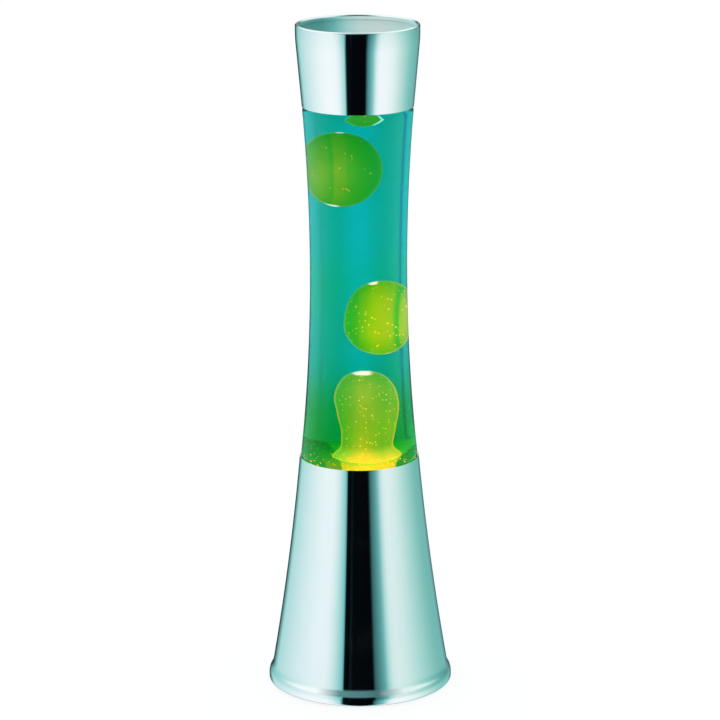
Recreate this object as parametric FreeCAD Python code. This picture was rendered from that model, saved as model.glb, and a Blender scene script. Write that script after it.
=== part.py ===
import FreeCAD, Part
import math
import os

# Lava lamp, 395 mm tall: a chromed base cone that holds a reflector bulb, a
# waisted glass bottle of liquid and wax that stands in the base, and a flared
# chromed cap that stands on the bottle. Millimetres and degrees, +Z up, origin
# on the table under the middle. Each function returns the solids of one piece.

# Base cone, a drawn steel shell with a flared foot flange
SHELL_H = 138.2            # shell, lower edge to upper edge
SHELL_LIFT = 1.2           # lower edge above the table
SHELL_TOP_R = 35.05
SHELL_BOW = 1.24           # how far the cone's side bends inwards
SHELL_WALL = 0.8
SHELL_EDGE_R = 0.3         # rounding of the upper edge
FLANGE_R = 54.4            # the lamp's largest radius
FLANGE_FLARE = 2.55        # flange's largest radius beyond the cone's foot
FLANGE_H = 10.8            # foot flange, lower edge to the cone
FLANGE_BAND_H = 3.0        # upright band at the flange's largest radius
CURL_R = 1.2               # curl at the lower edge
CURL_LIP = 2.2             # flat lip behind the curl

# Base plate with its vents, feet and lugs
PLATE_T = 1.2
PLATE_RISE = 0.6           # plate's underside above the shell's lower edge
PLATE_GAP = 0.5            # around the plate
VENT_COUNT = 12
VENT_R = 2.0
VENT_IN = 17.5             # vents' circle, inwards from the plate's edge
FOOT_COUNT = 4
FOOT_IN = 8.5              # feet's circle, inwards from the plate's edge
FOOT_R = 6.0
FOOT_EDGE = 0.5            # bevel round the foot's face
FOOT_STEM_R = 2.4
FOOT_BULGE_R = 3.2
FOOT_BULGE_H = 2.0
LUG_COUNT = 3
LUG_ANGLE = 30.0           # bearing of the first lug
LUG_SPREAD = 16.0          # degrees of the ring that a lug takes
LUG_REACH = 9.5            # lug's flange, inwards from the shell
LUG_T = 1.2
LUG_H = 17.0
LUG_SCREW_IN = 5.0         # screw, inwards from the shell

# Bottle seat, three bent lugs spot-welded inside the shell
SEAT_DEPTH = 17.4          # seat below the shell's upper edge
SEAT_T = 1.2
SEAT_COUNT = 3
SEAT_ANGLE = 90.0          # bearing of the first lug
SEAT_SPREAD = 40.0         # degrees of the ring that a lug takes
SEAT_BORE_R = 25.0         # clear circle between the lugs
SEAT_LIP_R = 1.6           # round where a lug's inner edge turns down
SEAT_LIP_H = 3.6
SEAT_COLLAR_H = 10.0
SEAT_CORNER_R = 2.0

# Lampholder on its bracket
BRACKET_H = 21.0
BRACKET_T = 1.5
BRACKET_HALF_SPAN = 14.0
BRACKET_TOE = 10.0
RIVET_IN = 5.5             # rivets, outwards from the bracket's legs
BRACKET_W = 20.0
RIVET_R = 1.6
RIVET_HEAD_R = 2.8
RIVET_HEAD_H = 0.9
HOLDER_R = 13.5
HOLDER_H = 32.0
HOLDER_FLOOR = 9.0         # porcelain under the contact
HOLDER_MOUTH_R = 9.3
HOLDER_MOUTH_H = 6.0
HOLDER_EDGE = 1.0          # bevel round the mouth
HOLDER_SHELL_T = 0.4
HOLDER_SHELL_H = 14.0
HOLDER_SCREW_X = 8.0
CONTACT_T = 0.5
CONTACT_L = 10.0
CONTACT_W = 4.0
CONTACT_PAD_R = 2.0

# Small screws: all have pan heads
SCREW_R = 1.5
SCREW_HEAD_R = 2.9
SCREW_HEAD_H = 1.0
SCREW_GRIP = 6.0           # thread in the porcelain
SCREW_PROUD = 1.5          # thread past a lug

# Terminal block and fixed leads
BLOCK_L = 22.0
BLOCK_W = 14.0
BLOCK_H = 13.0
BLOCK_IN = 17.5            # block's middle, inwards from the plate's edge
BLOCK_EDGE_R = 1.0
WAY_R = 1.6                # wire ways through the block
WAY_H = 7.5                # wire ways above the base plate
TERMINAL_PITCH = 6.4       # between the two screws of one way
LEAD_R = 1.0
LEAD_X = 4.0
LEAD_Y = 6.0               # where the leads rise into the lampholder
LEAD_SEAT = 4.0            # lead's end inside the lampholder
LEAD_GRIP = 5.0            # lead's end inside the terminal block
LEAD_BEND_R = 7.5

# Cord gland in the back of the shell
GLAND_Z = 13.0
GLAND_BORE_R = 3.0
GLAND_BARREL_R = 4.0
GLAND_FLANGE_R = 5.6
GLAND_IN = 0.2             # gland's outer face, inwards from the largest radius
GLAND_L = 9.4
NUT_R = 6.4                # across the corners
NUT_T = 3.0

# Reflector bulb, 39 mm, small screw base
THREAD_R = 6.9
CAP_THREAD_H = 16.6        # tip to the start of the skirt
CAP_CHAMFER = 0.6
CAP_STEP_H = 2.0           # cone between the thread and the skirt
CAP_H = 25.0               # tip to the skirt's upper edge
CAP_SHEET = 0.3
CAP_SKIRT_R = 8.5
TIP_R = 2.4
TIP_H = 1.0
INSULATOR_H = 3.0
INSULATOR_TOP_R = 6.3
BULB_L = 67.0
BULB_R = 19.5
BULB_CROWN_H = 10.0        # from the largest radius to the top
BULB_SHOULDER_R = 16.0
BULB_SHOULDER_H = 4.6
BULB_DOME = 1.2            # rise of the front's dome over its chord
BULB_NECK_H = 30.0         # tip to where the reflector opens
BULB_FOOT_H = 18.6         # tip to the glass's lower edge
BULB_WALL = 0.8
STEM_H = 15.0
STEM_R = 2.2
STEM_FLARE_T = 1.0
WIRE_R = 0.35
WIRE_H = 13.0
WIRE_SPREAD = 1.3          # wires' feet, either side of the axis
FILAMENT_HALF = 7.0
FILAMENT_R = 0.6

# Bottle
BOTTLE_WALL = 2.0
BOTTLE_COLLAR_GAP = 0.35   # between the bottle and the shell's upper edge
BOTTLE_SWELL = 0.2         # how far the glass swells above the shell's edge
BOTTLE_SWELL_H = 2.6       # height of the swell above the shell's edge
HEEL_R = 5.0
PUNT_H = 5.0
PUNT_BOW = 1.25            # rise of the punt's dome over its chord
FOOT_RING_W = 3.0
WAIST_R = 28.3
WAIST_H = 132.0            # foot to waist
SHOULDER_R = 32.0
SHOULDER_RISE = 90.6       # waist to shoulder
SHOULDER_ROUND = 5.0
SHOULDER_SLOPE = 24.0      # degrees of the shoulder's cone
NECK_R = 12.2
NECK_ROUND = 5.0
NECK_RISE = 23.4           # shoulder to lip
LIP_R = 13.0
LIP_H = 4.0
LIP_EDGE_R = 0.8

# Crown closure
CROWN_FLUTES = 21
CROWN_T = 0.3
CROWN_H = 6.0
CROWN_TOP_R = 12.6
CROWN_BROW_R = 13.5        # where the lid turns down into the skirt
CROWN_BROW_DROP = 0.6
CROWN_SKIRT_R = 14.6       # to the crests of the flutes
CROWN_FLUTE = 0.8          # crest to hollow
LINER_T = 0.6

# Filling
LIQUID_RISE = 9.4          # level above the shoulder
POOL_H = 19.0              # wax pool above the foot
COLUMN_X = 2.9
COLUMN_FLARE_R = 24.0
COLUMN_NECK_R = 12.0
COLUMN_NECK_H = 10.0       # above the pool
COLUMN_HEAD_R = 13.9
COLUMN_HEAD_H = 31.0
COLUMN_H = 50.5
COIL_R = 20.0
COIL_WIRE_R = 2.4
COIL_LIFT = 0.3            # above the glass
UPPER_X = -7.9
UPPER_Y = -1.0
UPPER_SHARE = 0.8198       # middle of the upper blob, as a share of the liquid's depth
UPPER_R = 18.4
UPPER_HALF_H = 21.9
MIDDLE_X = 9.7
MIDDLE_SHARE = 0.4375      # middle of the lower blob, as a share of the liquid's depth
MIDDLE_R = 16.1
MIDDLE_HALF_H = 21.9
MIDDLE_POINT = 1.2         # how much longer its upper half is
TOP_X = 2.5
TOP_SINK = 1.0             # middle of the gathered wax below the level
TOP_R = 13.0
TOP_HALF_H = 15.6

# Flared cap and its floor pan
FLARE_FOOT_R = 32.26
FLARE_RIM_R = 35.86
FLARE_H = 47.4
FLARE_WALL = 0.8
FLARE_GAP = 0.45           # cap's lower edge to the bottle's shoulder
FLARE_BEND_H = 8.0         # stretch below the rim where the side turns upright
FLARE_BAND_H = 2.4         # upright stretch below the rim's hem
HEM_R = 1.1
HEM_TUCK = 1.5
PAN_DEPTH = 18.0           # floor below the rim
PAN_T = 0.8
PAN_COLLAR_H = 4.0
PAN_CORNER_R = 1.6

# Fits
FIT_GAP = 0.05             # pressed, riveted and moulded fits
HOLE_GAP = 0.1             # screws, wires and stems in their holes
THREAD_GAP = 0.3           # bulb base in the lampholder

# Heights worked out from the sizes above
shell_top = SHELL_LIFT + SHELL_H
flange_top = SHELL_LIFT + FLANGE_H
plate_under = SHELL_LIFT + PLATE_RISE
plate_top = plate_under + PLATE_T
shell_foot_r = FLANGE_R - FLANGE_FLARE
plate_r = FLANGE_R - CURL_R - CURL_LIP - PLATE_GAP
vent_circle_r = plate_r - VENT_IN
foot_circle_r = plate_r - FOOT_IN
block_y = plate_r - BLOCK_IN
gland_face_y = FLANGE_R - GLAND_IN
holder_z = plate_top + BRACKET_H
holder_bore_r = THREAD_R + THREAD_GAP + HOLDER_SHELL_T
contact_top = holder_z + HOLDER_FLOOR + 2 * CONTACT_T
bulb_z = contact_top
filament_z = bulb_z + BULB_FOOT_H + STEM_H + WIRE_H
seat_z = shell_top - SEAT_DEPTH
bottle_z = seat_z
bottle_r = SHELL_TOP_R - SHELL_WALL - BOTTLE_COLLAR_GAP
punt_r = bottle_r - HEEL_R - FOOT_RING_W
waist_z = bottle_z + WAIST_H
shoulder_z = waist_z + SHOULDER_RISE
lip_z = shoulder_z + NECK_RISE
level_z = shoulder_z + LIQUID_RISE
upper_z = bottle_z + UPPER_SHARE * (level_z - bottle_z)
middle_z = bottle_z + MIDDLE_SHARE * (level_z - bottle_z)
top_z = level_z - TOP_SINK
cone_lean = (shell_foot_r - SHELL_TOP_R + 4 * SHELL_BOW) / (shell_top - flange_top)
shoulder_reach = FLARE_FOOT_R - FLARE_WALL - FLARE_GAP - SHOULDER_R + SHOULDER_ROUND
cap_foot_z = shoulder_z + math.sqrt(SHOULDER_ROUND ** 2 - shoulder_reach ** 2)
flare_lean = (FLARE_RIM_R - FLARE_FOOT_R) / (FLARE_H - HEM_R - FLARE_BAND_H - FLARE_BEND_H / 2)
cap_top = cap_foot_z + FLARE_H
pan_z = cap_top - PAN_DEPTH
UP = FreeCAD.Vector(0, 0, 1)
AXIS_Y = FreeCAD.Vector(0, 1, 0)
ORIGIN = FreeCAD.Vector(0, 0, 0)


class Outline:
    """Edges drawn end to end in the half plane of radius r and height z."""

    def __init__(self, r, z):
        self.start = FreeCAD.Vector(r, 0, z)
        self.at = self.start
        self.heading = None
        self.edges = []

    def head(self, r, z):
        """Face along (r, z) before the next arc."""
        self.heading = FreeCAD.Vector(r, 0, z).normalize()
        return self

    def line(self, r, z):
        """Straight to the point."""
        end = FreeCAD.Vector(r, 0, z)
        self.edges.append(Part.LineSegment(self.at, end).toShape())
        self.heading = (end - self.at).normalize()
        self.at = end
        return self

    def bow(self, r, z, rise):
        """Arc to the point whose middle stands rise to the left of its chord."""
        end = FreeCAD.Vector(r, 0, z)
        chord = end - self.at
        along = FreeCAD.Vector(chord).normalize()
        left = FreeCAD.Vector(-along.z, 0, along.x)
        middle = (self.at + end) * 0.5 + left * rise
        angle = 2 * math.atan(2 * rise / chord.Length)
        self.edges.append(Part.Arc(self.at, middle, end).toShape())
        self.heading = along * math.cos(angle) - left * math.sin(angle)
        self.at = end
        return self

    def turn(self, r, z):
        """Arc to the point, tangent to what comes before it."""
        chord = FreeCAD.Vector(r, 0, z) - self.at
        along = FreeCAD.Vector(chord).normalize()
        left = FreeCAD.Vector(-along.z, 0, along.x)
        angle = math.atan2(self.heading.dot(left), self.heading.dot(along))
        return self.bow(r, z, chord.Length / 2 * math.tan(angle / 2))

    def ogee(self, r, z, heading_r, heading_z):
        """Two arcs to the point, tangent to what comes before and to the end heading."""
        end = FreeCAD.Vector(r, 0, z)
        last = FreeCAD.Vector(heading_r, 0, heading_z).normalize()
        span = end - self.at
        along = span.dot(self.heading + last)
        spread = 2 * (1 - self.heading.dot(last))
        square = span.dot(span)
        reach = square / (along + math.sqrt(along ** 2 + spread * square))
        meet = (self.at + end + (self.heading - last) * reach) * 0.5
        self.turn(meet.x, meet.z)
        return self.turn(end.x, end.z)

    def turned(self):
        """Solid of revolution of the closed outline."""
        if not self.at.isEqual(self.start, 1e-6):
            self.line(self.start.x, self.start.z)
        face = Part.Face(Part.Wire(self.edges))
        return face.revolve(ORIGIN, UP, 360)

    def pressed(self, thickness, sweep=360):
        """Sheet of revolution that follows the outline, to its left if thickness is above 0."""
        wire = Part.Wire(self.edges)
        face = wire.makeOffset2D(thickness, join=2, fill=True, openResult=True)
        return face.revolve(ORIGIN, UP, sweep)


def rod(x, y, z, radius, height):
    """Upright cylinder that stands on z."""
    return Part.makeCylinder(radius, height, FreeCAD.Vector(x, y, z))


def ring_spots(count, radius, first_angle):
    """Points spaced evenly on a circle about the lamp's axis."""
    spots = []
    for index in range(count):
        angle = math.radians(first_angle + 360.0 * index / count)
        spots.append((radius * math.cos(angle), radius * math.sin(angle)))
    return spots


def pan_screw(x, y, head_z, length):
    """Screw whose head hangs below head_z and whose thread rises from it."""
    head = rod(x, y, head_z - SCREW_HEAD_H, SCREW_HEAD_R, SCREW_HEAD_H)
    head = head.makeChamfer(SCREW_HEAD_H / 2, circles(head)[:1])
    return head.fuse(rod(x, y, head_z, SCREW_R, length)).removeSplitter()


def circles(solid):
    """Circular edges of a solid, the lowest first."""
    closed = [edge for edge in solid.Edges if edge.Closed]
    return sorted(closed, key=lambda edge: edge.CenterOfMass.z)


def cone_outer_r(z):
    """Outer radius of the base cone at height z."""
    share = (shell_top - z) / (shell_top - flange_top)
    straight = SHELL_TOP_R + (shell_foot_r - SHELL_TOP_R) * share
    return straight - 4 * SHELL_BOW * share * (1 - share)


def cone_inner_r(z):
    """Radius inside the base cone at height z, less the fit of what is fixed to it."""
    return cone_outer_r(z) - SHELL_WALL * math.hypot(1, cone_lean) - FIT_GAP


def shell_outline():
    """Outer face of the base cone, from its upper edge to the lip under the flange."""
    side = Outline(SHELL_TOP_R, shell_top)
    side.bow(shell_foot_r, flange_top, -SHELL_BOW)
    side.ogee(FLANGE_R, SHELL_LIFT + FLANGE_BAND_H, 0, -1)
    side.line(FLANGE_R, SHELL_LIFT + CURL_R)
    side.turn(FLANGE_R - CURL_R, SHELL_LIFT)
    return side.line(FLANGE_R - CURL_R - CURL_LIP, SHELL_LIFT)


def base_shell():
    """Drawn cone with its flared foot, open at both ends, with the gland's hole."""
    shell = shell_outline().pressed(-SHELL_WALL)
    shell = shell.makeFillet(SHELL_EDGE_R, circles(shell)[-2:])
    hole_start = FreeCAD.Vector(0, 0, GLAND_Z)
    hole = Part.makeCylinder(GLAND_BARREL_R + FIT_GAP, FLANGE_R, hole_start, AXIS_Y)
    return shell.cut(hole)


def base_plate():
    """Bottom cover with vents and with holes for feet, screws, rivets and the block."""
    plate = rod(0, 0, plate_under, plate_r, PLATE_T)
    holes = []
    for x, y in ring_spots(VENT_COUNT, vent_circle_r, 0):
        if math.hypot(x, y - block_y) > BLOCK_L / 2 + VENT_R:
            holes.append(rod(x, y, plate_under, VENT_R, PLATE_T))
    for x, y in ring_spots(FOOT_COUNT, foot_circle_r, 45):
        holes.append(rod(x, y, plate_under, FOOT_STEM_R + HOLE_GAP, PLATE_T))
    for x, y in lug_screw_spots():
        holes.append(rod(x, y, plate_under, SCREW_R + HOLE_GAP, PLATE_T))
    for x in rivet_spots():
        holes.append(rod(x, 0, plate_under, RIVET_R, PLATE_T))
    holes.append(rod(0, block_y, plate_under, SCREW_R + HOLE_GAP, PLATE_T))
    return plate.cut(holes)


def rubber_foot(x, y):
    """Foot pressed into the plate: a pad below, a stem and a bulge above."""
    pad = rod(x, y, 0, FOOT_R, plate_under)
    pad = pad.makeChamfer(FOOT_EDGE, circles(pad)[:1])
    stem = rod(x, y, plate_under, FOOT_STEM_R, PLATE_T)
    bulge = Part.makeCone(FOOT_BULGE_R, FOOT_STEM_R, FOOT_BULGE_H, FreeCAD.Vector(x, y, plate_top))
    return pad.fuse([stem, bulge])


def lug_screw_spots():
    """Where the plate's screws enter the lugs."""
    radius = cone_inner_r(flange_top) - LUG_SCREW_IN
    return ring_spots(LUG_COUNT, radius, LUG_ANGLE)


def mounting_lug(index):
    """Bent tab inside the shell that takes one of the plate's screws."""
    wall_low = cone_inner_r(flange_top)
    wall_high = cone_inner_r(plate_top + LUG_H)
    tab = Outline(wall_low - LUG_REACH, plate_top)
    tab.line(wall_low - LUG_T, plate_top)
    tab.turn(wall_low, plate_top + LUG_T)
    tab.line(wall_low, flange_top)
    tab.line(wall_high, plate_top + LUG_H)
    tab.line(wall_high - LUG_T, plate_top + LUG_H)
    tab.line(wall_low - LUG_T, flange_top)
    tab.line(wall_low - LUG_T, plate_top + LUG_T)
    tab.line(wall_low - LUG_REACH, plate_top + LUG_T)
    tab.line(wall_low - LUG_REACH, plate_top)
    face = Part.Face(Part.Wire(tab.edges))
    lug = face.revolve(ORIGIN, UP, LUG_SPREAD)
    lug.rotate(ORIGIN, UP, LUG_ANGLE + 360.0 * index / LUG_COUNT - LUG_SPREAD / 2)
    x, y = lug_screw_spots()[index]
    return lug.cut(rod(x, y, plate_top, SCREW_R, LUG_T))


def plate_screws():
    """Three screws through the plate into the lugs."""
    length = PLATE_T + LUG_T + SCREW_PROUD
    screws = [pan_screw(x, y, plate_under, length) for x, y in lug_screw_spots()]
    return Part.makeCompound(screws)


def bottle_seat():
    """Three lugs: a leg on the cone, a ledge for the bottle, a lip at the inner edge."""
    corner_r = cone_inner_r(seat_z - SEAT_CORNER_R)
    lug = Outline(cone_inner_r(seat_z - SEAT_COLLAR_H), seat_z - SEAT_COLLAR_H)
    lug.line(corner_r, seat_z - SEAT_CORNER_R)
    lug.turn(corner_r - SEAT_CORNER_R, seat_z)
    lug.line(SEAT_BORE_R + SEAT_LIP_R, seat_z)
    lug.turn(SEAT_BORE_R, seat_z - SEAT_LIP_R)
    lug.line(SEAT_BORE_R, seat_z - SEAT_LIP_H)
    lugs = []
    for index in range(SEAT_COUNT):
        bent = lug.pressed(SEAT_T, SEAT_SPREAD)
        bent.rotate(ORIGIN, UP, SEAT_ANGLE + 360.0 * index / SEAT_COUNT - SEAT_SPREAD / 2)
        lugs.append(bent)
    return Part.makeCompound(lugs)


def rivet_spots():
    """X of the two rivets that hold the bracket to the plate."""
    offset = BRACKET_HALF_SPAN + RIVET_IN
    return (-offset, offset)


def holder_bracket():
    """Hat-shaped steel strip that carries the lampholder over the plate."""
    toe = BRACKET_HALF_SPAN + BRACKET_TOE
    points = [
        FreeCAD.Vector(-toe, 0, plate_top),
        FreeCAD.Vector(-BRACKET_HALF_SPAN, 0, plate_top),
        FreeCAD.Vector(-BRACKET_HALF_SPAN, 0, holder_z - BRACKET_T),
        FreeCAD.Vector(BRACKET_HALF_SPAN, 0, holder_z - BRACKET_T),
        FreeCAD.Vector(BRACKET_HALF_SPAN, 0, plate_top),
        FreeCAD.Vector(toe, 0, plate_top),
    ]
    strip = Part.makePolygon(points).makeOffset2D(BRACKET_T, join=0, fill=True, openResult=True)
    bracket = strip.extrude(AXIS_Y * BRACKET_W)
    bracket.translate(AXIS_Y * (-BRACKET_W / 2))
    holes = [rod(x, 0, plate_top, RIVET_R, BRACKET_T) for x in rivet_spots()]
    for side in (-1, 1):
        screw_x = side * HOLDER_SCREW_X
        holes.append(rod(screw_x, 0, holder_z - BRACKET_T, SCREW_R + HOLE_GAP, BRACKET_T))
        holes.append(rod(side * LEAD_X, LEAD_Y, holder_z - BRACKET_T, WAY_R, BRACKET_T))
    return bracket.cut(holes)


def bracket_rivets():
    """Two rivets through the bracket's toes and the plate."""
    rivets = []
    for x in rivet_spots():
        shank = rod(x, 0, plate_under, RIVET_R, PLATE_T + BRACKET_T)
        tail = rod(x, 0, plate_under - RIVET_HEAD_H, RIVET_HEAD_R, RIVET_HEAD_H)
        head = rod(x, 0, plate_top + BRACKET_T, RIVET_HEAD_R, RIVET_HEAD_H)
        rivets.append(shank.fuse([tail, head]))
    return Part.makeCompound(rivets)


def lampholder_body():
    """Porcelain cup with a stepped bore, lead holes and screw holes."""
    cup = rod(0, 0, holder_z, HOLDER_R, HOLDER_H)
    cup = cup.makeChamfer(HOLDER_EDGE, circles(cup)[-1:])
    floor = holder_z + HOLDER_FLOOR
    mouth = holder_z + HOLDER_H - HOLDER_MOUTH_H
    holes = [rod(0, 0, floor, holder_bore_r, HOLDER_H), rod(0, 0, mouth, HOLDER_MOUTH_R, HOLDER_H)]
    for side in (-1, 1):
        holes.append(rod(side * HOLDER_SCREW_X, 0, holder_z, SCREW_R, SCREW_GRIP))
        holes.append(rod(side * LEAD_X, LEAD_Y, holder_z, LEAD_R + HOLE_GAP, LEAD_SEAT))
    return cup.cut(holes)


def lampholder_shell():
    """Threaded brass sleeve in the porcelain, drawn without its thread."""
    top = holder_z + HOLDER_H - HOLDER_MOUTH_H
    sleeve = rod(0, 0, top - HOLDER_SHELL_H, holder_bore_r, HOLDER_SHELL_H)
    return sleeve.cut(rod(0, 0, top - HOLDER_SHELL_H, THREAD_R + THREAD_GAP, HOLDER_SHELL_H))


def centre_contact():
    """Brass leaf on the holder's floor with a raised pad for the bulb's tip."""
    floor = holder_z + HOLDER_FLOOR
    corner = FreeCAD.Vector(-CONTACT_L / 2, -CONTACT_W / 2, floor)
    leaf = Part.makeBox(CONTACT_L, CONTACT_W, CONTACT_T, corner)
    return leaf.fuse(rod(0, 0, floor + CONTACT_T, CONTACT_PAD_R, CONTACT_T))


def holder_screws():
    """Two screws up through the bracket into the porcelain."""
    head_z = holder_z - BRACKET_T
    screws = [pan_screw(side * HOLDER_SCREW_X, 0, head_z, SCREW_GRIP) for side in (-1, 1)]
    return Part.makeCompound(screws)


def terminal_spots():
    """Places of the terminal block's four clamp screws."""
    return [(x, block_y + y) for x in (-LEAD_X, LEAD_X) for y in (-TERMINAL_PITCH / 2, TERMINAL_PITCH / 2)]


def terminal_block():
    """Two-way block with wire ways along Y and clamp screws from above."""
    corner = FreeCAD.Vector(-BLOCK_L / 2, block_y - BLOCK_W / 2, plate_top)
    block = Part.makeBox(BLOCK_L, BLOCK_W, BLOCK_H, corner)
    uprights = [edge for edge in block.Edges if abs(edge.tangentAt(0).z) > 0.9]
    block = block.makeFillet(BLOCK_EDGE_R, uprights)
    holes = [rod(0, block_y, plate_top, SCREW_R + HOLE_GAP, BLOCK_H)]
    for x in (-LEAD_X, LEAD_X):
        start = FreeCAD.Vector(x, block_y - BLOCK_W / 2, plate_top + WAY_H)
        holes.append(Part.makeCylinder(WAY_R, BLOCK_W, start, AXIS_Y))
    for x, y in terminal_spots():
        holes.append(rod(x, y, plate_top + WAY_H, SCREW_R + HOLE_GAP, BLOCK_H - WAY_H))
    return block.cut(holes)


def terminal_screws():
    """Four slotless clamp screws that press on the wires."""
    bottom = plate_top + WAY_H + LEAD_R + HOLE_GAP
    length = BLOCK_H - WAY_H - LEAD_R - 2 * HOLE_GAP
    return Part.makeCompound([rod(x, y, bottom, SCREW_R, length) for x, y in terminal_spots()])


def block_screw():
    """Screw up through the plate and the block, with its nut on top."""
    screw = pan_screw(0, block_y, plate_under, PLATE_T + BLOCK_H)
    nut = rod(0, block_y, plate_top + BLOCK_H, SCREW_HEAD_R, SCREW_HEAD_H)
    return screw.fuse(nut)


def fixed_lead(side):
    """Insulated lead from the terminal block, in one bend, up into the lampholder."""
    x = side * LEAD_X
    level = plate_top + WAY_H
    start = FreeCAD.Vector(x, block_y - BLOCK_W / 2 + LEAD_GRIP, level)
    end = FreeCAD.Vector(x, LEAD_Y, holder_z + LEAD_SEAT)
    bend_start = FreeCAD.Vector(x, LEAD_Y + LEAD_BEND_R, level)
    bend_end = FreeCAD.Vector(x, LEAD_Y, level + LEAD_BEND_R)
    lean = LEAD_BEND_R * (1 - math.cos(math.radians(45)))
    bend_middle = FreeCAD.Vector(x, LEAD_Y + lean, level + lean)
    path = Part.Wire([
        Part.LineSegment(start, bend_start).toShape(),
        Part.Arc(bend_start, bend_middle, bend_end).toShape(),
        Part.LineSegment(bend_end, end).toShape(),
    ])
    section = Part.Wire(Part.makeCircle(LEAD_R, start, AXIS_Y))
    return path.makePipeShell([section], True, True)


def cord_gland():
    """Bush through the shell's back whose flange fits the cone."""
    barrel_start = FreeCAD.Vector(0, gland_face_y - GLAND_L, GLAND_Z)
    barrel = Part.makeCylinder(GLAND_BARREL_R, GLAND_L, barrel_start, AXIS_Y)
    middle = cone_outer_r(GLAND_Z)
    flange_start = FreeCAD.Vector(0, middle - SHELL_WALL, GLAND_Z)
    flange = Part.makeCylinder(GLAND_FLANGE_R, gland_face_y - middle + SHELL_WALL, flange_start, AXIS_Y)
    cone = shell_outline().line(0, SHELL_LIFT).line(0, shell_top).turned()
    bush = barrel.fuse(flange.cut(cone))
    return bush.cut(Part.makeCylinder(GLAND_BORE_R, GLAND_L, barrel_start, AXIS_Y))


def gland_nut():
    """Six-sided nut on the gland's barrel, inside the shell."""
    back = cone_inner_r(GLAND_Z + NUT_R) - NUT_R ** 2 / (2 * shell_foot_r) - HOLE_GAP
    corners = []
    for index in range(7):
        angle = math.radians(60 * index)
        corners.append(FreeCAD.Vector(NUT_R * math.cos(angle), back, GLAND_Z + NUT_R * math.sin(angle)))
    nut = Part.Face(Part.makePolygon(corners)).extrude(AXIS_Y * -NUT_T)
    bore_start = FreeCAD.Vector(0, back - NUT_T, GLAND_Z)
    return nut.cut(Part.makeCylinder(GLAND_BARREL_R + FIT_GAP, NUT_T, bore_start, AXIS_Y))


def bulb_tip():
    """Solder contact at the bottom of the bulb."""
    return rod(0, 0, bulb_z, TIP_R, TIP_H)


def bulb_insulator():
    """Dark glass between the tip and the screw shell."""
    base = FreeCAD.Vector(0, 0, bulb_z + TIP_H)
    return Part.makeCone(TIP_R, INSULATOR_TOP_R, INSULATOR_H, base)


def bulb_screw_shell():
    """Brass screw shell, drawn without its thread, and its skirt."""
    shell = Outline(INSULATOR_TOP_R, bulb_z + TIP_H + INSULATOR_H)
    shell.line(THREAD_R, bulb_z + TIP_H + INSULATOR_H + CAP_CHAMFER)
    shell.line(THREAD_R, bulb_z + CAP_THREAD_H)
    shell.line(CAP_SKIRT_R, bulb_z + CAP_THREAD_H + CAP_STEP_H)
    shell.line(CAP_SKIRT_R, bulb_z + CAP_H)
    return shell.pressed(CAP_SHEET)


def bulb_glass():
    """Reflector envelope with a parabolic back and a shallow domed front."""
    neck_r = CAP_SKIRT_R - CAP_SHEET - FIT_GAP
    top = bulb_z + BULB_L
    wide = top - BULB_CROWN_H
    glass = Outline(0, top)
    glass.bow(BULB_SHOULDER_R, top - BULB_SHOULDER_H, BULB_DOME)
    glass.ogee(BULB_R, wide, 0, -1)
    glass.ogee(neck_r, bulb_z + BULB_NECK_H, 0, -1)
    glass.line(neck_r, bulb_z + BULB_FOOT_H)
    return glass.pressed(-BULB_WALL)


def bulb_stem():
    """Glass mount that carries the filament's wires."""
    foot = bulb_z + BULB_FOOT_H
    flare_r = CAP_SKIRT_R - CAP_SHEET - BULB_WALL - 2 * FIT_GAP
    stem = Outline(0, foot)
    stem.line(flare_r, foot)
    stem.line(flare_r, foot + STEM_FLARE_T)
    stem.head(-1, 0)
    stem.ogee(STEM_R, foot + STEM_H / 2, 0, 1)
    stem.line(STEM_R, foot + STEM_H)
    stem.line(0, foot + STEM_H)
    return stem.turned()


def bulb_lead_wires():
    """Two wires that rise from the stem and spread to the filament."""
    wires = []
    for side in (-1, 1):
        foot = FreeCAD.Vector(side * WIRE_SPREAD, 0, filament_z - WIRE_H + WIRE_R / 2)
        top = FreeCAD.Vector(side * (FILAMENT_HALF - WIRE_R), 0, filament_z - FILAMENT_R - WIRE_R / 2)
        rise = top - foot
        wires.append(Part.makeCylinder(WIRE_R, rise.Length, foot, rise))
    return Part.makeCompound(wires)


def bulb_filament():
    """Coiled wire, drawn as the cylinder that its turns fill."""
    start = FreeCAD.Vector(-FILAMENT_HALF, 0, filament_z)
    return Part.makeCylinder(FILAMENT_R, 2 * FILAMENT_HALF, start, FreeCAD.Vector(1, 0, 0))


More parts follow.
